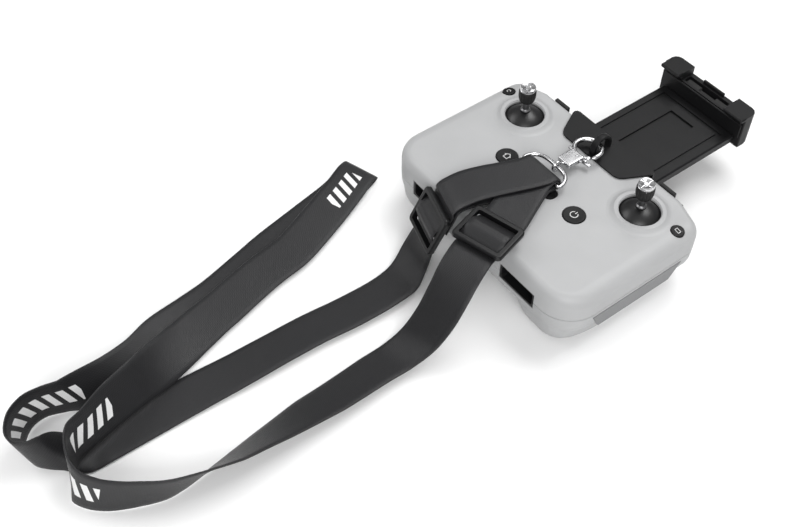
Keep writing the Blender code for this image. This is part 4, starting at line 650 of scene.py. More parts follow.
def rear_rings(depth_into):
    rows = [(0.00025, -PARTING_DEPTH - GAP), (0.0, -PARTING_DEPTH - GAP - 0.0004),
            (0.0003, -CENTRE_DEPTH + 0.008), (0.0009, -CENTRE_DEPTH + 0.0055),
            (0.0018, -CENTRE_DEPTH + 0.0035), (0.0031, -CENTRE_DEPTH + 0.0017),
            (0.0047, -CENTRE_DEPTH + 0.0005), (0.0063, -CENTRE_DEPTH)]
    rings = [
        at_height(housing_outline(inset + depth_into), z + (depth_into if z < -0.02 else 0.0))
        for inset, z in rows
    ]
    if depth_into:
        rings.insert(0, at_height(housing_outline(depth_into), -PARTING_DEPTH + 0.001))
    return rings


def shoulder_point(side, inwards):
    x, y = HALF_WIDTH - SHOULDER_RUN / 2, TOP_Y - SHOULDER_DROP / 2
    x -= inwards * sin(SHOULDER_ANGLE)
    return (side * x, y - inwards * cos(SHOULDER_ANGLE), -0.0225)


def shutter_matrix():
    out = Vector((sin(SHOULDER_ANGLE), cos(SHOULDER_ANGLE), 0))
    turn = Vector((0, 0, 1)).rotation_difference(out).to_matrix().to_4x4()
    return Matrix.Translation(shoulder_point(1, 0.0)) @ turn


def panel_skin(side, grow):
    rake = 0.006
    top, bottom = -0.0185 + grow, -0.030 - grow
    low, high = -0.057 - grow, 0.007 + grow
    outline = [(low, top), (high, top), (high - rake, bottom), (low + rake, bottom)]
    inner = HALF_WIDTH - 0.0014 - grow
    extra = 0.003 if grow else 0
    outer = [HALF_WIDTH + 0.0003 + extra] * 2 + [HALF_WIDTH - 0.0004 + extra] * 2
    return loft([[(side * inner, y, z) for y, z in outline],
                 [(side * x, y, z) for x, (y, z) in zip(outer, outline)]])


def make_rear_shell():
    steps = [add(grip_skin(side, 0.0)) for side in (-1, 1)]
    steps.append(cut(loft(rear_rings(WALL))))
    for side in (-1, 1):
        steps.append(cut(grip_skin(side, WALL)))
        steps.append(cut(panel_skin(side, GAP)))
    for x, y in SCREWS:
        steps.append(add(rod(0.0021, (x, y, -0.0195), (x, y, -0.029), 24)))
        steps.append(cut(rod(0.0013, (x, y, -0.0185), (x, y, -0.032), 24)))
        steps.append(cut(rod(0.0021, (x, y, -0.0285), (x, y, -0.032), 24)))
    steps += shared_openings()
    dial = Matrix.Translation(shoulder_point(-1, DIAL_INSET))
    for place, radius, low, high, sides in (
        (dial, 0.0085, -0.0028, 0.0028, 64), (dial, 0.0015, -0.0037, 0.004, 24),
        (shutter_matrix(), 0.0042, -0.0065, 0.004, 48),
        (shutter_matrix(), 0.0049, -0.0052, -0.0027, 48),
    ):
        steps.append(cut(moved(rod(radius, (0, 0, low), (0, 0, high), sides), place)))
    piece = combined("back_shell", loft(rear_rings(0.0)), steps)
    piece.data.transform(HOME)
    dress(piece, SHELL, "transmitter", "rear_shell")
    for side, name in ((-1, "left"), (1, "right")):
        panel = new_object(name + "_grip_pad", moved(panel_skin(side, 0.0), HOME))
        dress(panel, GRIP, "transmitter", name + "_grip_panel", bevel=0.0003)


# ---------------------------------------------------------------- sticks and buttons
KNOB_LOW = KNOB_BOTTOM_Z - PIVOT_Z
KNOB_HIGH = KNOB_TOP_Z - PIVOT_Z


def make_dome(name, centre):
    bore = asin((STALK_RADIUS + GAP) / DOME_RADIUS)
    angles = [bore + (radians(74) - bore) * i / 20 for i in range(21)]
    inner = DOME_RADIUS - 0.0012
    profile = [(DOME_RADIUS * sin(a), DOME_RADIUS * cos(a)) for a in angles]
    profile += [(inner * sin(a), inner * cos(a)) for a in reversed(angles)]
    dome = new_object(name + "_dome", moved(turned(profile, 96, True), centre))
    dress(dome, GLOSS, name + "_stick", name + "_stick_dome")


def make_stalk(name, centre):
    top = KNOB_LOW - GAP
    r = DOME_RADIUS
    profile = [(0, top), (0.0020, top), (0.0020, r + 0.0016), (0.0023, r + 0.0013),
               (0.0028, r + 0.0009), (0.0029, r + 0.0003), (0.0023, r + 0.0003),
               (0.0023, -0.0030), (0, -0.0030)]
    pin = rod(0.001, (-0.0044, 0, 0), (0.0044, 0, 0), 24)
    stalk = combined(name + "_stalk", turned(profile, 40), [add(pin)])
    stalk.data.transform(centre)
    dress(stalk, DARK_METAL, name + "_stick", name + "_stick_stalk", bevel=0.0001)


def make_knob(name, centre):
    low, high, r = KNOB_LOW, KNOB_HIGH, KNOB_RADIUS
    rows = [(0.0028, 0.0, 0), (0.0033, 0.0002, 0), (0.0040, 0.0008, 0), (0.0043, 0.0014, 1),
            (r - 0.0003, 0.0027, 1), (r - 0.0001, 0.0038, 1), (r, 0.0048, 1),
            (r, high - low - 0.0011, 1), (r - 0.0001, high - low - 0.0005, 0),
            (r - 0.0005, high - low, 0)]
    rows = [(radius, low + z, pressed) for radius, z, pressed in rows]
    bore = rod(0.0018, (0, 0, low - 0.001), (0, 0, high + 0.001))
    knob = combined(name + "_knob", fluted(rows, 144, 18, 0.00022, 0.7), [cut(bore)])
    knob.data.transform(centre)
    dress(knob, RUBBER, name + "_stick", name + "_stick_knob", sharp=50)


def make_cap(name, centre):
    low, high, top = KNOB_LOW, KNOB_HIGH, CAP_TOP_Z - PIVOT_Z
    radius = KNOB_RADIUS - 0.0005
    profile = [(0, top - 0.0012), (0.0013, top - 0.0011), (0.0019, top - 0.0006),
               (radius - 0.0010, top - 0.00005), (radius - 0.0007, top),
               (radius - 0.0003, top - 0.0002), (radius, top - 0.0008), (radius, high + 0.0008),
               (radius - 0.0003, high + 0.0006), (radius, high + 0.0004), (radius, high + GAP),
               (0.0015, high + GAP), (0.0015, low + 0.0008), (0, low + 0.0008)]
    notches = []
    for i in range(2):
        turn = Matrix.Rotation(radians(90 * i), 4, "Z")
        notch = block((-0.00045, -0.006, top - 0.0007), (0.00045, 0.006, top + 0.001))
        notches.append(cut(moved(notch, turn)))
    cap = combined(name + "_cap", turned(profile, 64), notches)
    cap.data.transform(centre)
    dress(cap, CHROME, name + "_stick", name + "_stick_cap", bevel=0.00008)


def make_sticks():
    for side, name in ((-1, "left"), (1, "right")):
        centre = HOME @ Matrix.Translation((side * STICK_X, 0, PIVOT_Z))
        make_dome(name, centre)
        make_stalk(name, centre)
        make_knob(name, centre)
        make_cap(name, centre)


def button_skin(radius, proud, under, flange, dish=0.00025):
    profile = [(0, proud - dish), (radius * 0.45, proud - dish * 0.8),
               (radius * 0.8, proud - dish * 0.2)]
    profile += [(radius - 0.0005 + 0.0005 * sin(radians(a)),
                 proud - 0.0005 + 0.0005 * cos(radians(a))) for a in range(0, 91, 15)]
    profile += [(radius, -under), (radius + flange, -under), (radius + flange, -under - 0.0009),
                (0, -under - 0.0009)]
    return turned(profile, 64)


def icon(name, skins, matrix, body):
    """Printed symbol of one or more flat shapes, just proud of the surface."""
    whole = bmesh.new()
    for skin in skins:
        mesh = bpy.data.meshes.new("part")
        bmesh.ops.recalc_face_normals(skin, faces=skin.faces)
        skin.to_mesh(mesh)
        skin.free()
        whole.from_mesh(mesh)
        bpy.data.meshes.remove(mesh)
    piece = new_object(name, moved(whole, HOME @ matrix))
    piece.data.materials.append(INK)
    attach(piece, body)


def flat_ring(radius, width, start, end, z, steps=40):
    outer = arc(radius + width / 2, start, end, steps)
    inner = arc(radius - width / 2, start, end, steps)
    skin = bmesh.new()
    rows = []
    for level in (z - 0.0002, z + 0.00004):
        rows.append([
            [skin.verts.new((x, y, level)) for x, y, _ in side] for side in (outer, inner)
        ])
    (lo_out, lo_in), (hi_out, hi_in) = rows
    for i in range(steps):
        skin.faces.new((hi_out[i], hi_out[i + 1], hi_in[i + 1], hi_in[i]))
        skin.faces.new((lo_in[i], lo_in[i + 1], lo_out[i + 1], lo_out[i]))
        skin.faces.new((lo_out[i], lo_out[i + 1], hi_out[i + 1], hi_out[i]))
        skin.faces.new((hi_in[i], hi_in[i + 1], lo_in[i + 1], lo_in[i]))
    for i in (0, -1):
        skin.faces.new((lo_in[i], lo_out[i], hi_out[i], hi_in[i]))
    return skin


def bars(width, z, *ends):
    return [bar(*end, width, z) for end in ends]


def bar(x0, y0, x1, y1, width, z):
    start, end = Vector((x0, y0, 0)), Vector((x1, y1, 0))
    along = (end - start).normalized()
    side = Vector((-along.y, along.x, 0)) * width / 2
    outline = [start - side, end - side, end + side, start + side]
    return loft([[(p.x, p.y, level) for p in outline] for level in (z - 0.0002, z + 0.00004)])


def make_buttons():
    for side, name in ((-1, "return"), (1, "power")):
        place = Matrix.Translation((side * BUTTON_X, BUTTON_Y, 0))
        skin = button_skin(0.0062, 0.0004, WALL + GAP, 0.0007)
        piece = new_object(name + "_key_top", moved(skin, HOME @ place))
        dress(piece, BLACK, name + "_key", name + "_button")
        level = 0.0004 - 0.00022
        if name == "power":
            shapes = [flat_ring(0.0021, 0.00042, 122, 418, level)]
            shapes += bars(0.00042, level, (0, 0.0008, 0, 0.0026))
        else:
            shapes = bars(
                0.0004, level, (-0.0022, 0.0002, 0, 0.0022), (0, 0.0022, 0.0022, 0.0002),
                (-0.0014, -0.0018, -0.0014, 0.0008), (0.0014, -0.0018, 0.0014, 0.0008),
                (-0.0016, -0.0018, 0.0016, -0.0018),
            )
        icon(name + "_symbol", shapes, place, name + "_key")
    for side, name in ((-1, "custom"), (1, "capture")):
        place = side_button_matrix(side)
        skin = button_skin(0.0037, 0.0004, WALL + 2 * GAP, 0.0004, 0.00015)
        piece = new_object(name + "_key_top", moved(skin, HOME @ place))
        dress(piece, BLACK, name + "_key", name + "_button")
        level = 0.0004 - 0.00012
        if name == "capture":
            shapes = bars(
                0.0003, level, (-0.0014, -0.0009, 0.0014, -0.0009), (-0.0014, 0.0009, 0.0014, 0.0009),
                (-0.0014, -0.001, -0.0014, 0.001), (0.0014, -0.001, 0.0014, 0.001),
            )
        else:
            shapes = [flat_ring(0.0011, 0.0003, 0, 300, level)]
        icon(name + "_symbol", shapes, place, name + "_key")
    skin = button_skin(0.0039, 0.0016, WALL + 0.0006, 0.0007, 0.0004)
    piece = new_object("shutter_key_top", moved(skin, HOME @ shutter_matrix()))
    dress(piece, BLACK, "shutter_key", "shutter_button")


def make_dial():
    rows = [(0.008 - shrink, z, pressed) for z, shrink, pressed in (
        (-0.0025, 0.0008, 0), (-0.0021, 0.0002, 1), (-0.0018, 0, 1),
        (0.0018, 0, 1), (0.0021, 0.0002, 1), (0.0025, 0.0008, 0),
    )]
    bore = rod(0.0015, (0, 0, -0.004), (0, 0, 0.004))
    piece = combined("tilt_dial", fluted(rows, 192, 32, 0.00035, 0.6), [cut(bore)])
    piece.data.transform(HOME @ Matrix.Translation(shoulder_point(-1, DIAL_INSET)))
    dress(piece, RUBBER, "dial", "gimbal_dial", sharp=50)


def make_eyelet():
    base, spring = 0.0016, 0.0044
    path = [(0, 0.0209, base), (0, 0.0209, spring)]
    for i in range(1, 24):
        t = pi * i / 24
        path.append((0, 0.015 + 0.0059 * cos(t), spring + 0.0059 * sin(t)))
    path += [(0, 0.0091, spring), (0, 0.0091, base)]
    rings = []
    for i, point in enumerate(path):
        ahead, behind = Vector(path[min(i + 1, len(path) - 1)]), Vector(path[max(i - 1, 0)])
        along = (ahead - behind).normalized()
        out = along.cross(Vector((1, 0, 0)))
        ring = []
        for t in full_turn(24):
            wide = 0.0020 * powered(cos(t), 0.45)
            thick = 0.0011 * powered(sin(t), 0.6)
            ring.append(Vector(point) + Vector((wide, 0, 0)) + out * thick)
        rings.append(ring)
    piece = new_object("neck_loop", moved(loft(rings), HOME))
    dress(piece, BLACK, "transmitter", "lanyard_eyelet")


# ---------------------------------------------------------------- clasp, D-ring and sliders
CLASP = Vector((-0.0012, 0, 0.0056))
RING_Y = 0.0060
RING_RADIUS = 0.0076
BODY_TOP = RING_Y - RING_RADIUS + 0.0008
BODY_LOW = BODY_TOP - 0.0116
GATE = (0.0014, -0.0035)
SWIVEL_Y = BODY_LOW - GAP - 0.0042
BAR = Vector((-0.0032, -0.027, 0.0052))
RING_WIRE = 0.00125
BUCKLE_LENGTH = 0.025
BUCKLE_THICKNESS = 0.0034
HOOK_PLACE = HOME @ Matrix.Translation(CLASP)
GATE_PLACE = HOOK_PLACE @ Matrix.Translation((*GATE, 0))


def make_hook():
    path = arc(RING_RADIUS, 250, -25, 72, (0, RING_Y))
    sizes = [0.0014] * 66 + [0.00138, 0.0013, 0.0012, 0.00108, 0.00095, 0.0008, 0.0006]
    steps = [
        add(block((-0.0047, BODY_LOW, -0.0015), (0.0047, BODY_TOP, 0.0015), 0.0009, 4)),
        add(block((-0.0075, BODY_TOP - 0.0012, -0.0008), (-0.002, BODY_TOP + 0.0006, 0.0008),
                  0.0004, 3)),
        cut(block((GATE[0] - 0.0021, GATE[1] - 0.0021, -0.001), (0.009, BODY_TOP + 0.001, 0.001),
                  0.0003, 2)),
        cut(rod(0.001, (*GATE, -0.004), (*GATE, 0.004))),
        cut(rod(0.0011, (0, BODY_LOW - 0.001, 0), (0, BODY_LOW + 0.0035, 0))),
        cut(rod(0.0006, (-0.0012, BODY_TOP - 0.0032, 0.0011), (-0.0012, BODY_TOP - 0.0032, 0.003))),
        cut(block((-0.0047 - 0.001, BODY_LOW + 0.0012, -0.01),
                  (-0.0047 + 0.0005, BODY_LOW + 0.0018, 0.01))),
        cut(block((0.0047 - 0.0005, BODY_LOW + 0.0012, -0.01),
                  (0.0047 + 0.001, BODY_LOW + 0.0018, 0.01))),
    ]
    hook = combined("snap_hook", wire(path, sizes, 24), steps)
    hook.data.transform(HOOK_PLACE)
    dress(hook, CHROME, "clasp", "clasp_hook", bevel=0.00012)


def make_rivet():
    profile = [(0, 0.0015), (0.0006, 0.0015), (0.0007, 0.0014), (0.0007, -0.0014),
               (0.0006, -0.0015), (0, -0.0015)]
    pin = new_object("gate_rivet", moved(turned(profile, 32), GATE_PLACE))
    dress(pin, STEEL, "clasp", "clasp_pin")


def make_gate():
    ring = Vector((-GATE[0], RING_Y - GATE[1], 0))
    tip = [Vector(p) + ring for p in arc(RING_RADIUS, -32, -58, 10)]
    path = tip + [Vector((0.0021, 0.0021, 0)), Vector((0.0016, 0.0012, 0)),
                  Vector((0.0006, 0.0004, 0))]
    fat = [Vector(p) + ring for p in arc(RING_RADIUS, -32, -52, 10)]
    sizes = [0.0008, 0.0010, 0.00112, 0.0012, 0.0012, 0.0012, 0.0012, 0.0012, 0.00115, 0.0010, 0.0008]
    turn = Matrix.Rotation(radians(8), 4, "Z")
    tab = moved(block((0.0030, 0.0006, -0.0026), (0.0082, 0.0028, -0.0017), 0.0003, 3), turn)
    stem = moved(block((0.0038, 0.0010, -0.0020), (0.0052, 0.0026, -0.0003), 0.0003, 2), turn)
    steps = [add(wire(fat, sizes, 20)), add(rod(0.0017, (0, 0, -0.0007), (0, 0, 0.0007))),
             cut(rod(0.001, (0, 0, -0.002), (0, 0, 0.002))), add(tab), add(stem)]
    gate = combined("snap_gate", wire(path, 0.0007, 16), steps)
    gate.data.transform(GATE_PLACE)
    dress(gate, CHROME, "gate", "clasp_gate", bevel=0.00008)


def make_swivel():
    x, z = CLASP.x, CLASP.z
    loop = [(x, SWIVEL_Y + 0.0029 * cos(t), z + 0.0029 * sin(t)) for t in full_turn(48)]
    stud = rod(0.0008, (x, SWIVEL_Y + 0.003, z), (x, BODY_LOW + 0.003, z))
    swivel = combined("swivel_eye", wire(loop, 0.0009, 20, True), [add(stud)])
    swivel.data.transform(HOME)
    dress(swivel, CHROME, "transmitter", "clasp_swivel")


def make_d_ring():
    rise = SWIVEL_Y - BAR.y
    tilt = atan2(CLASP.z - BAR.z, rise)
    path = [(x * 0.0143 / 12, 0, 0) for x in range(-11, 12)]
    for i in range(65):
        angle = pi * i / 64
        s = sin(angle)
        path.append((0.0143 * powered(cos(angle), 0.6), rise * abs(s) ** 0.9 + 0.0001 * s, 0))
    path = [p for i, p in enumerate(path) if (Vector(p) - Vector(path[i - 1])).length > 1e-5]
    place = HOME @ Matrix.Translation(BAR) @ Matrix.Rotation(tilt, 4, "X")
    piece = new_object("strap_ring", moved(wire(path, RING_WIRE, 20, True), place))
    dress(piece, CHROME, "transmitter", "d_ring")


# Middle of each slider, the way across the webbing and the way along it.
SLIDERS = {
    "left": ((-0.0212, -0.0888, -0.0089), (0.960, -0.250, 0.110), (-0.11, -0.40, -0.91)),
    "right": ((0.0153, -0.0796, 0.0080), (0.9646, 0.2639, 0.0), (0.2639, -0.9646, 0.0)),
}


def slider_axes(name):
    centre, across, along = map(Vector, SLIDERS[name])
    along = along.normalized()
    across = (across - along * across.dot(along)).normalized()
    return centre, across, along, across.cross(along) * -1


def make_sliders():
    half_w, half_l, half_t = 0.0153, BUCKLE_LENGTH / 2, BUCKLE_THICKNESS / 2
    corners = [(x, y, 0.0028, 1) for x, y in (
        (-half_w, -half_l), (half_w, -half_l), (half_w, half_l), (-half_w, half_l))]
    rounding = [(0.0011 * (1 - sin(t)), 0.0011 * (1 - cos(t)))
                for t in [radians(15 * i) for i in range(7)]]
    levels = [(inset, drop - half_t) for inset, drop in rounding]
    levels += [(inset, half_t - drop) for inset, drop in reversed(rounding)]
    for name in ("left", "right"):
        centre, across, along, out = slider_axes(name)
        turn = Matrix((across, along * -1, out)).transposed().to_4x4()
        steps = []
        for end in (-1, 1):
            ys = sorted((end * 0.0018, end * (half_l - 0.0030)))
            steps.append(cut(block((-0.0124, ys[0], -0.01), (0.0124, ys[1], 0.01), 0.0009, 4)))
            zs = sorted((end * 0.0010, end * 0.01))
            steps.append(cut(block((-0.0124, -0.0036, zs[0]), (0.0124, 0.0036, zs[1]))))
        rings = [at_height(rounded_outline(corners, inset, 8), z) for inset, z in levels]
        piece = combined(name + "_buckle", loft(rings), steps)
        piece.data.transform(HOME @ Matrix.Translation(centre) @ turn)
        dress(piece, SATIN, "transmitter", name + "_slider", bevel=0.0003)


# ---------------------------------------------------------------- webbing
# Runs of the two tabs between the D-ring and the sliders, in millimetres.
LEFT_TAB_BELOW = (
    (-18.9, -78.3, 0.6), (-19.2, -76.8, 1.9), (-19.3, -72.5, 2.4), (-17.6, -65, 2.3),
    (-14.2, -56, 2.0), (-9.2, -45, 1.7), (-5.4, -36.5, 1.6), (-3.6, -31, 1.55),
)
LEFT_TAB_ABOVE = (
    (-3.6, -31, 8.8), (-5.4, -36.5, 8.6), (-9.2, -45, 8.0), (-14.2, -56, 7.1),
    (-17.6, -65, 6.2), (-19.3, -73, 5.2), (-19.3, -78.4, 4.9), (-19.1, -80.6, 3.8),
)
RIGHT_TAB_ABOVE = ((10.3, -62, 5.2), (4.6, -49, 5.6), (-0.6, -37, 6.5), (-2.8, -31, 7.1))
RIGHT_TAB_BELOW = ((-2.8, -31, 3.1), (-0.6, -37, 3.2), (4.6, -49, 3.4), (10.3, -62, 3.45))
# Stretch over which a tab turns to its slider, and its end's places under the slider, in metres.
TAB_TURN = 0.037
TAB_END = (-0.0010, -0.0060, -0.0112)

# The neck loop in millimetres: x, y, height of the lower edge above the floor, bearing of
# the first edge in degrees, and how far that edge is lifted in degrees.
NECK_ROUTE = (
    (-21.8, -97.5, 7.9, 172, 0), (-17.5, -108, 1.3, 180, -6), (-15.5, -121, 0.2, 180, -9),
    (-16, -146, 0.1, 178, -8), (-18, -168, 0.1, 180, -8), (-18.8, -190, 0.1, 180, -8),
    (-19.6, -214, 0.1, 180, -6), (-21, -236, 0.1, 178, -3), (-22, -258, 0.4, 178, 0),
    (-22.5, -277, 0.2, 178, 1), (-22.8, -291, 0.5, 180, 3), (-23.2, -301, 0.3, 182, 13),
    (-24.2, -307, 0.2, 186, 38), (-25.2, -312.5, 0.2, 196, 66), (-28.0, -318.8, 0.3, 222, 80),
    (-32.5, -323.5, 0.6, 252, 78), (-41, -324, 0.6, 275, 78), (-48.5, -319.5, 0.7, 235, 82),
    (-53, -312, 0.8, 200, 86), (-53.3, -304, 0.8, 180, 88), (-50.5, -294, 0.6, 180, 84),
    (-48.5, -283, 0.4, 180, 65), (-48.2, -271.5, 0.7, 180, 45), (-52, -254, 0.6, 184, 29),
    (-59.4, -236, 0.4, 189, 20), (-65, -214, 0.2, 192, 9), (-69, -197, 0.2, 193, 3),
    (-77, -169, 0.2, 193, 0), (-81, -154, 0.2, 192, 0), (-87, -125, 0.1, 192, 0),
    (-92.5, -99, 0.1, 193, 0), (-97.4, -84, 0.4, 196, 0), (-99.3, -78.6, 1.4, 198, 0),
    (-97.8, -83, 2.6, 201, 0), (-91.5, -95, 2.6, 203, 3), (-84, -111, 2.3, 205, 5),
    (-76, -129.5, 2.3, 199, 5), (-69, -148, 2.4, 190, 4), (-66, -166, 2.1, 188, 5),
    (-62, -182.5, 2.1, 193, 6), (-57.5, -198.5, 2.1, 197, 7), (-54.5, -210, 2.1, 196, 9),
    (-49.8, -225, 1.9, 195, 14), (-41.8, -244.6, 2.3, 190, 34), (-36.1, -259.5, 2.9, 190, 54),
    (-30.6, -277.6, 3.7, 190, 63), (-24.3, -292.5, 5, 187, 75), (-20.8, -301.5, 6.0, 184, 77),
    (-15.2, -306.6, 5.6, 165, 80), (-9.0, -310.0, 2.8, 135, 80), (-3, -311.6, 0.9, 95, 73),
    (5.4, -307.5, 0.9, 86, 72), (12.5, -300.5, 0.8, 80, 74), (19, -290.5, 0.8, 60, 76),
    (25, -278, 0.5, 20, 77), (26.8, -268, 0.5, 5, 70), (27.3, -257, 0.6, 355, 60),
    (27.5, -242, 0.6, 0, 46), (26.7, -228, 0.5, 0, 38), (25.9, -214.5, 0.4, 0, 30),
    (25, -200.5, 0.6, 2, 22), (24.9, -186, 0.6, 2, 18), (24.3, -172, 0.5, 2, 16),
    (23.6, -158, 0.5, 2, 14), (23.8, -144, 1.3, 4, 12), (25.3, -132, 8, 8, 9),
    (26.6, -122, 21.1, 11, 6), (25.8, -113.5, 33.8, 13, 3), (23.2, -104.5, 42.9, 15, 0),
)


def on_slider(name, along_by, out_by):
    centre, _, along, out = slider_axes(name)
    return centre + along * along_by + out * out_by


def slider_stations(name, edge_sign, towards_neck):
    """Webbing through a slider: under the end bars and over the middle bar."""
    _, across, _, _ = slider_axes(name)
    under = -BUCKLE_THICKNESS / 2 - GAP * 3 - STRAP_THICKNESS / 2
    over = BUCKLE_THICKNESS / 2 - 0.0007 + GAP + STRAP_THICKNESS / 2
    end = BUCKLE_LENGTH / 2
    rows = [(-end - 0.001, under), (-end + 0.0022, under), (-end / 2, (under + over) / 2),
            (-0.0023, over), (0, over + 0.0001), (0.0023, over), (end / 2, (under + over) / 2),
            (end - 0.0022, under), (end + 0.001, under)]
    if not towards_neck:
        rows.reverse()
    return [(on_slider(name, a, o), across * edge_sign) for a, o in rows]


def bearing_vector(bearing, lift):
    level = cos(radians(lift))
    return Vector((
        level * cos(radians(bearing)), level * sin(radians(bearing)),
        sin(radians(lift)),
    ))


def bar_wrap(radius, edge, from_below):
    """Stations round the D-ring's bar, from under it to over it or back."""
    angles = [-90, -60, -30, 0, 30, 60, 90]
    if not from_below:
        angles.reverse()
    stations = []
    for angle in angles:
        t = radians(angle)
        stations.append((BAR + Vector((0, cos(t), sin(t))) * radius, edge))
    return stations


def strap_stations():
    """Centre and edge direction of the whole webbing, end to end, in metres."""
    inner_wrap = RING_WIRE + GAP + STRAP_THICKNESS / 2
    outer_wrap = inner_wrap + STRAP_THICKNESS + GAP
    left_edge, right_edge = Vector((-1, 0, 0)), Vector((1, 0, 0))
    left_across = slider_axes("left")[1] * -1
    right_across = slider_axes("right")[1]

    def tab(points, across, edge):
        """Stations of a tab, turning from the D-ring's edge to the slider's on the way."""
        stations = []
        for x, y, z in points:
            share = min(max((BAR.y - 0.008 - y / 1000) / TAB_TURN, 0), 1)
            stations.append((Vector((x, y, z)) / 1000, edge.lerp(across, share).normalized()))
        return stations

    end_level = -BUCKLE_THICKNESS / 2 - 2 * (GAP * 2 + STRAP_THICKNESS)
    stations = [(on_slider("left", run, end_level), left_across) for run in TAB_END]
    stations += tab(LEFT_TAB_BELOW, left_across, left_edge)
    stations += bar_wrap(outer_wrap, left_edge, True)
    stations += tab(LEFT_TAB_ABOVE, left_across, left_edge)
    stations += slider_stations("left", -1, True)
    for x, y, above_floor, bearing, lift in NECK_ROUTE:
        half_height = abs(sin(radians(lift))) * STRAP_WIDTH / 2
        half_height += cos(radians(lift)) * STRAP_THICKNESS / 2
        place = Vector((x / 1000, y / 1000, above_floor / 1000 + half_height - ORIGIN.z))
        stations.append((place, bearing_vector(bearing, lift)))
    stations += slider_stations("right", 1, False)
    stations += tab(RIGHT_TAB_ABOVE, right_across, right_edge)
    stations += bar_wrap(inner_wrap, right_edge, False)
    stations += tab(RIGHT_TAB_BELOW, right_across, right_edge)
    stations += [(on_slider("right", run, end_level), right_across) for run in reversed(TAB_END)]
    return stations


def smooth_stations(stations):
    """Centripetal curve through the stations, finer where they lie further apart."""
    places = [place for place, _ in stations]
    places.insert(0, places[0] * 2 - places[1])
    places.append(places[-1] * 2 - places[-2])
    result = []
    for i in range(len(stations) - 1):
        p0, p1, p2, p3 = places[i:i + 4]
        t1 = (p1 - p0).length ** 0.5
        t2 = t1 + (p2 - p1).length ** 0.5
        t3 = t2 + (p3 - p2).length ** 0.5
        parts = 2 + round((p2 - p1).length / 0.0035)
        for k in range(parts):
            share = k / parts
            t = t1 + (t2 - t1) * share
            a1 = p0.lerp(p1, t / t1)
            a2 = p1.lerp(p2, (t - t1) / (t2 - t1))
            a3 = p2.lerp(p3, (t - t2) / (t3 - t2))
            b1 = a1.lerp(a2, t / t2)
            b2 = a2.lerp(a3, (t - t1) / (t3 - t1))
            edge = stations[i][1].lerp(stations[i + 1][1], share).normalized()
            result.append((b1.lerp(b2, (t - t1) / (t2 - t1)), edge))
    result.append(stations[-1])
    return result


def make_strap():
    """Webbing as one long band with rounded selvedges; its UV counts webbing widths along."""
    stations = smooth_stations(strap_stations())
    half, thick = STRAP_WIDTH / 2, STRAP_THICKNESS / 2
    section = [(-half, 0.35), (-half + 0.0004, 0.9)]
    section += [(-half + STRAP_WIDTH * k / 8, 1.0) for k in range(1, 8)]
    section += [(half - 0.0004, 0.9), (half, 0.35)]
    section += [(x, -y) for x, y in reversed(section)]
    rings, travelled, lengths = [], 0.0, []
    for i, (place, edge) in enumerate(stations):
        ahead = stations[min(i + 1, len(stations) - 1)][0]
        behind = stations[max(i - 1, 0)][0]
        along = (ahead - behind).normalized()
        out = edge.cross(along).normalized()
        rings.append([HOME @ (place + edge * x - out * y * thick) for x, y in section])
        if i:
            travelled += (place - stations[i - 1][0]).length
        lengths.append(travelled)
    piece = new_object("strap", loft(rings))
    mesh = piece.data
    layer = mesh.uv_layers.new(name="along").data
    count = len(section)
    for polygon in mesh.polygons:
        columns = [i % count for i in polygon.vertices]
        lower = min(columns) >= count // 2
        for loop, vertex in zip(polygon.loop_indices, polygon.vertices):
            column = vertex % count
            across = (section[column][0] + half) / STRAP_WIDTH
            layer[loop].uv = (across, lengths[vertex // count] / STRAP_WIDTH + UNDERSIDE * lower)
    mesh.shade_smooth()
    mesh.materials.append(WEBBING)
    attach(piece, "transmitter")
    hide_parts("neck_strap")


# ---------------------------------------------------------------- CAD pieces that stay as they are
FINISH = {
    "left_phone_rest_pad": RUBBER, "right_phone_rest_pad": RUBBER, "phone_lead": RUBBER,
    "battery_lights": LENS, "usb_c_port": DARK_METAL,
}


def dress_cad():
    """Every CAD piece that has no finish of its own is shown in black plastic."""
    for name, node in NODES.items():
        node.data.materials.clear()
        node.data.materials.append(FINISH.get(name, BLACK))


# ---------------------------------------------------------------- stage and camera
FLOOR_Z = -0.0003
LAMPS = (
    ("key", (-0.1, 0.75, 1.5), 1.2, 18.0), ("fill", (1.1, -0.9, 1.0), 1.1, 20.0),
    ("front", (-1.1, -0.8, 1.1), 1.0, 7.0),
)
AIM = Vector((0, -0.05, 0.02))


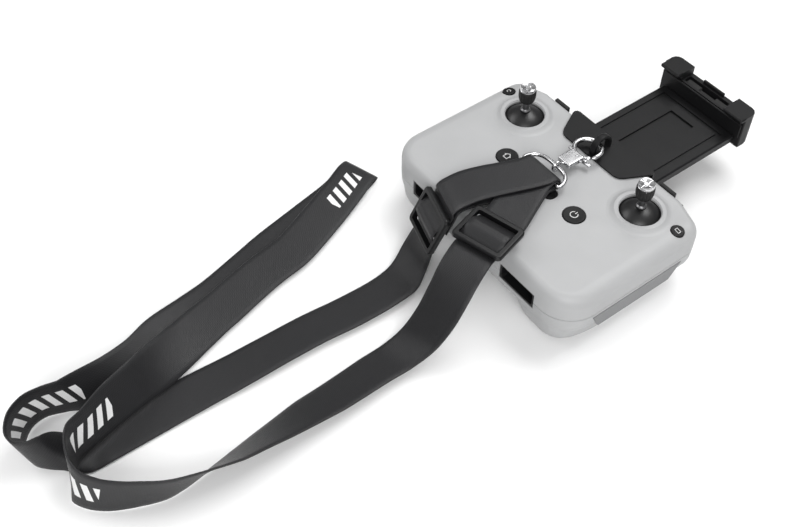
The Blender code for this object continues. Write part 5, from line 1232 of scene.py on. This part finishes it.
def make_stage():
    bpy.ops.mesh.primitive_plane_add(size=6, location=(0, 0, FLOOR_Z))
    floor = bpy.context.object
    floor.name = "floor"
    s = Shader("floor", (0.86, 0.86, 0.86), 0.85)
    s.tint(s.noise(3, 2), 0.3, 0.7, (0.86, 0.86, 0.86), (0.875, 0.875, 0.875))
    floor.data.materials.append(s.material)
    world = bpy.data.worlds.new("studio")
    bpy.context.scene.world = world
    world.use_nodes = True
    tree = world.node_tree
    place = tree.nodes.new("ShaderNodeTexCoord")
    split = tree.nodes.new("ShaderNodeSeparateXYZ")
    ramp = tree.nodes.new("ShaderNodeValToRGB")
    set_ramp(ramp, (0.05, (0.10, 0.10, 0.10)), (0.9, (0.60, 0.60, 0.60)))
    tree.links.new(place.outputs["Generated"], split.inputs["Vector"])
    tree.links.new(split.outputs["Z"], ramp.inputs["Fac"])
    tree.links.new(ramp.outputs["Color"], tree.nodes["Background"].inputs["Color"])
    tree.nodes["Background"].inputs["Strength"].default_value = 1.0
    for name, spot, size, power in LAMPS:
        lamp = bpy.data.lights.new(name, "AREA")
        lamp.shape = "RECTANGLE"
        lamp.size, lamp.size_y = size, size * 0.7
        lamp.energy = power
        holder = bpy.data.objects.new(name, lamp)
        bpy.context.scene.collection.objects.link(holder)
        holder.location = spot
        holder.rotation_mode = "QUATERNION"
        holder.rotation_quaternion = (AIM - Vector(spot)).to_track_quat("-Z", "Y")


def make_camera():
    lens = bpy.data.cameras.new("camera")
    lens.lens = 49.49
    lens.sensor_width = 36
    lens.clip_start = 0.02
    camera = bpy.data.objects.new("camera", lens)
    bpy.context.scene.collection.objects.link(camera)
    right = Vector((0.598911, 0.800778, 0.007784))
    up = Vector((-0.619173, 0.456879, 0.638660))
    back = Vector((0.507868, -0.387320, 0.769450))
    turn = Matrix((right, up, back)).transposed().to_4x4()
    camera.matrix_world = Matrix.Translation((0.28117, -0.35744, 0.47034)) @ turn
    bpy.context.scene.camera = camera
    bpy.context.scene.view_settings.view_transform = "Standard"


dress_cad()
make_front_shell()
make_rear_shell()
make_sticks()
make_buttons()
make_dial()
make_eyelet()
make_hook()
make_rivet()
make_gate()
make_swivel()
make_d_ring()
make_sliders()
make_strap()
make_stage()
make_camera()
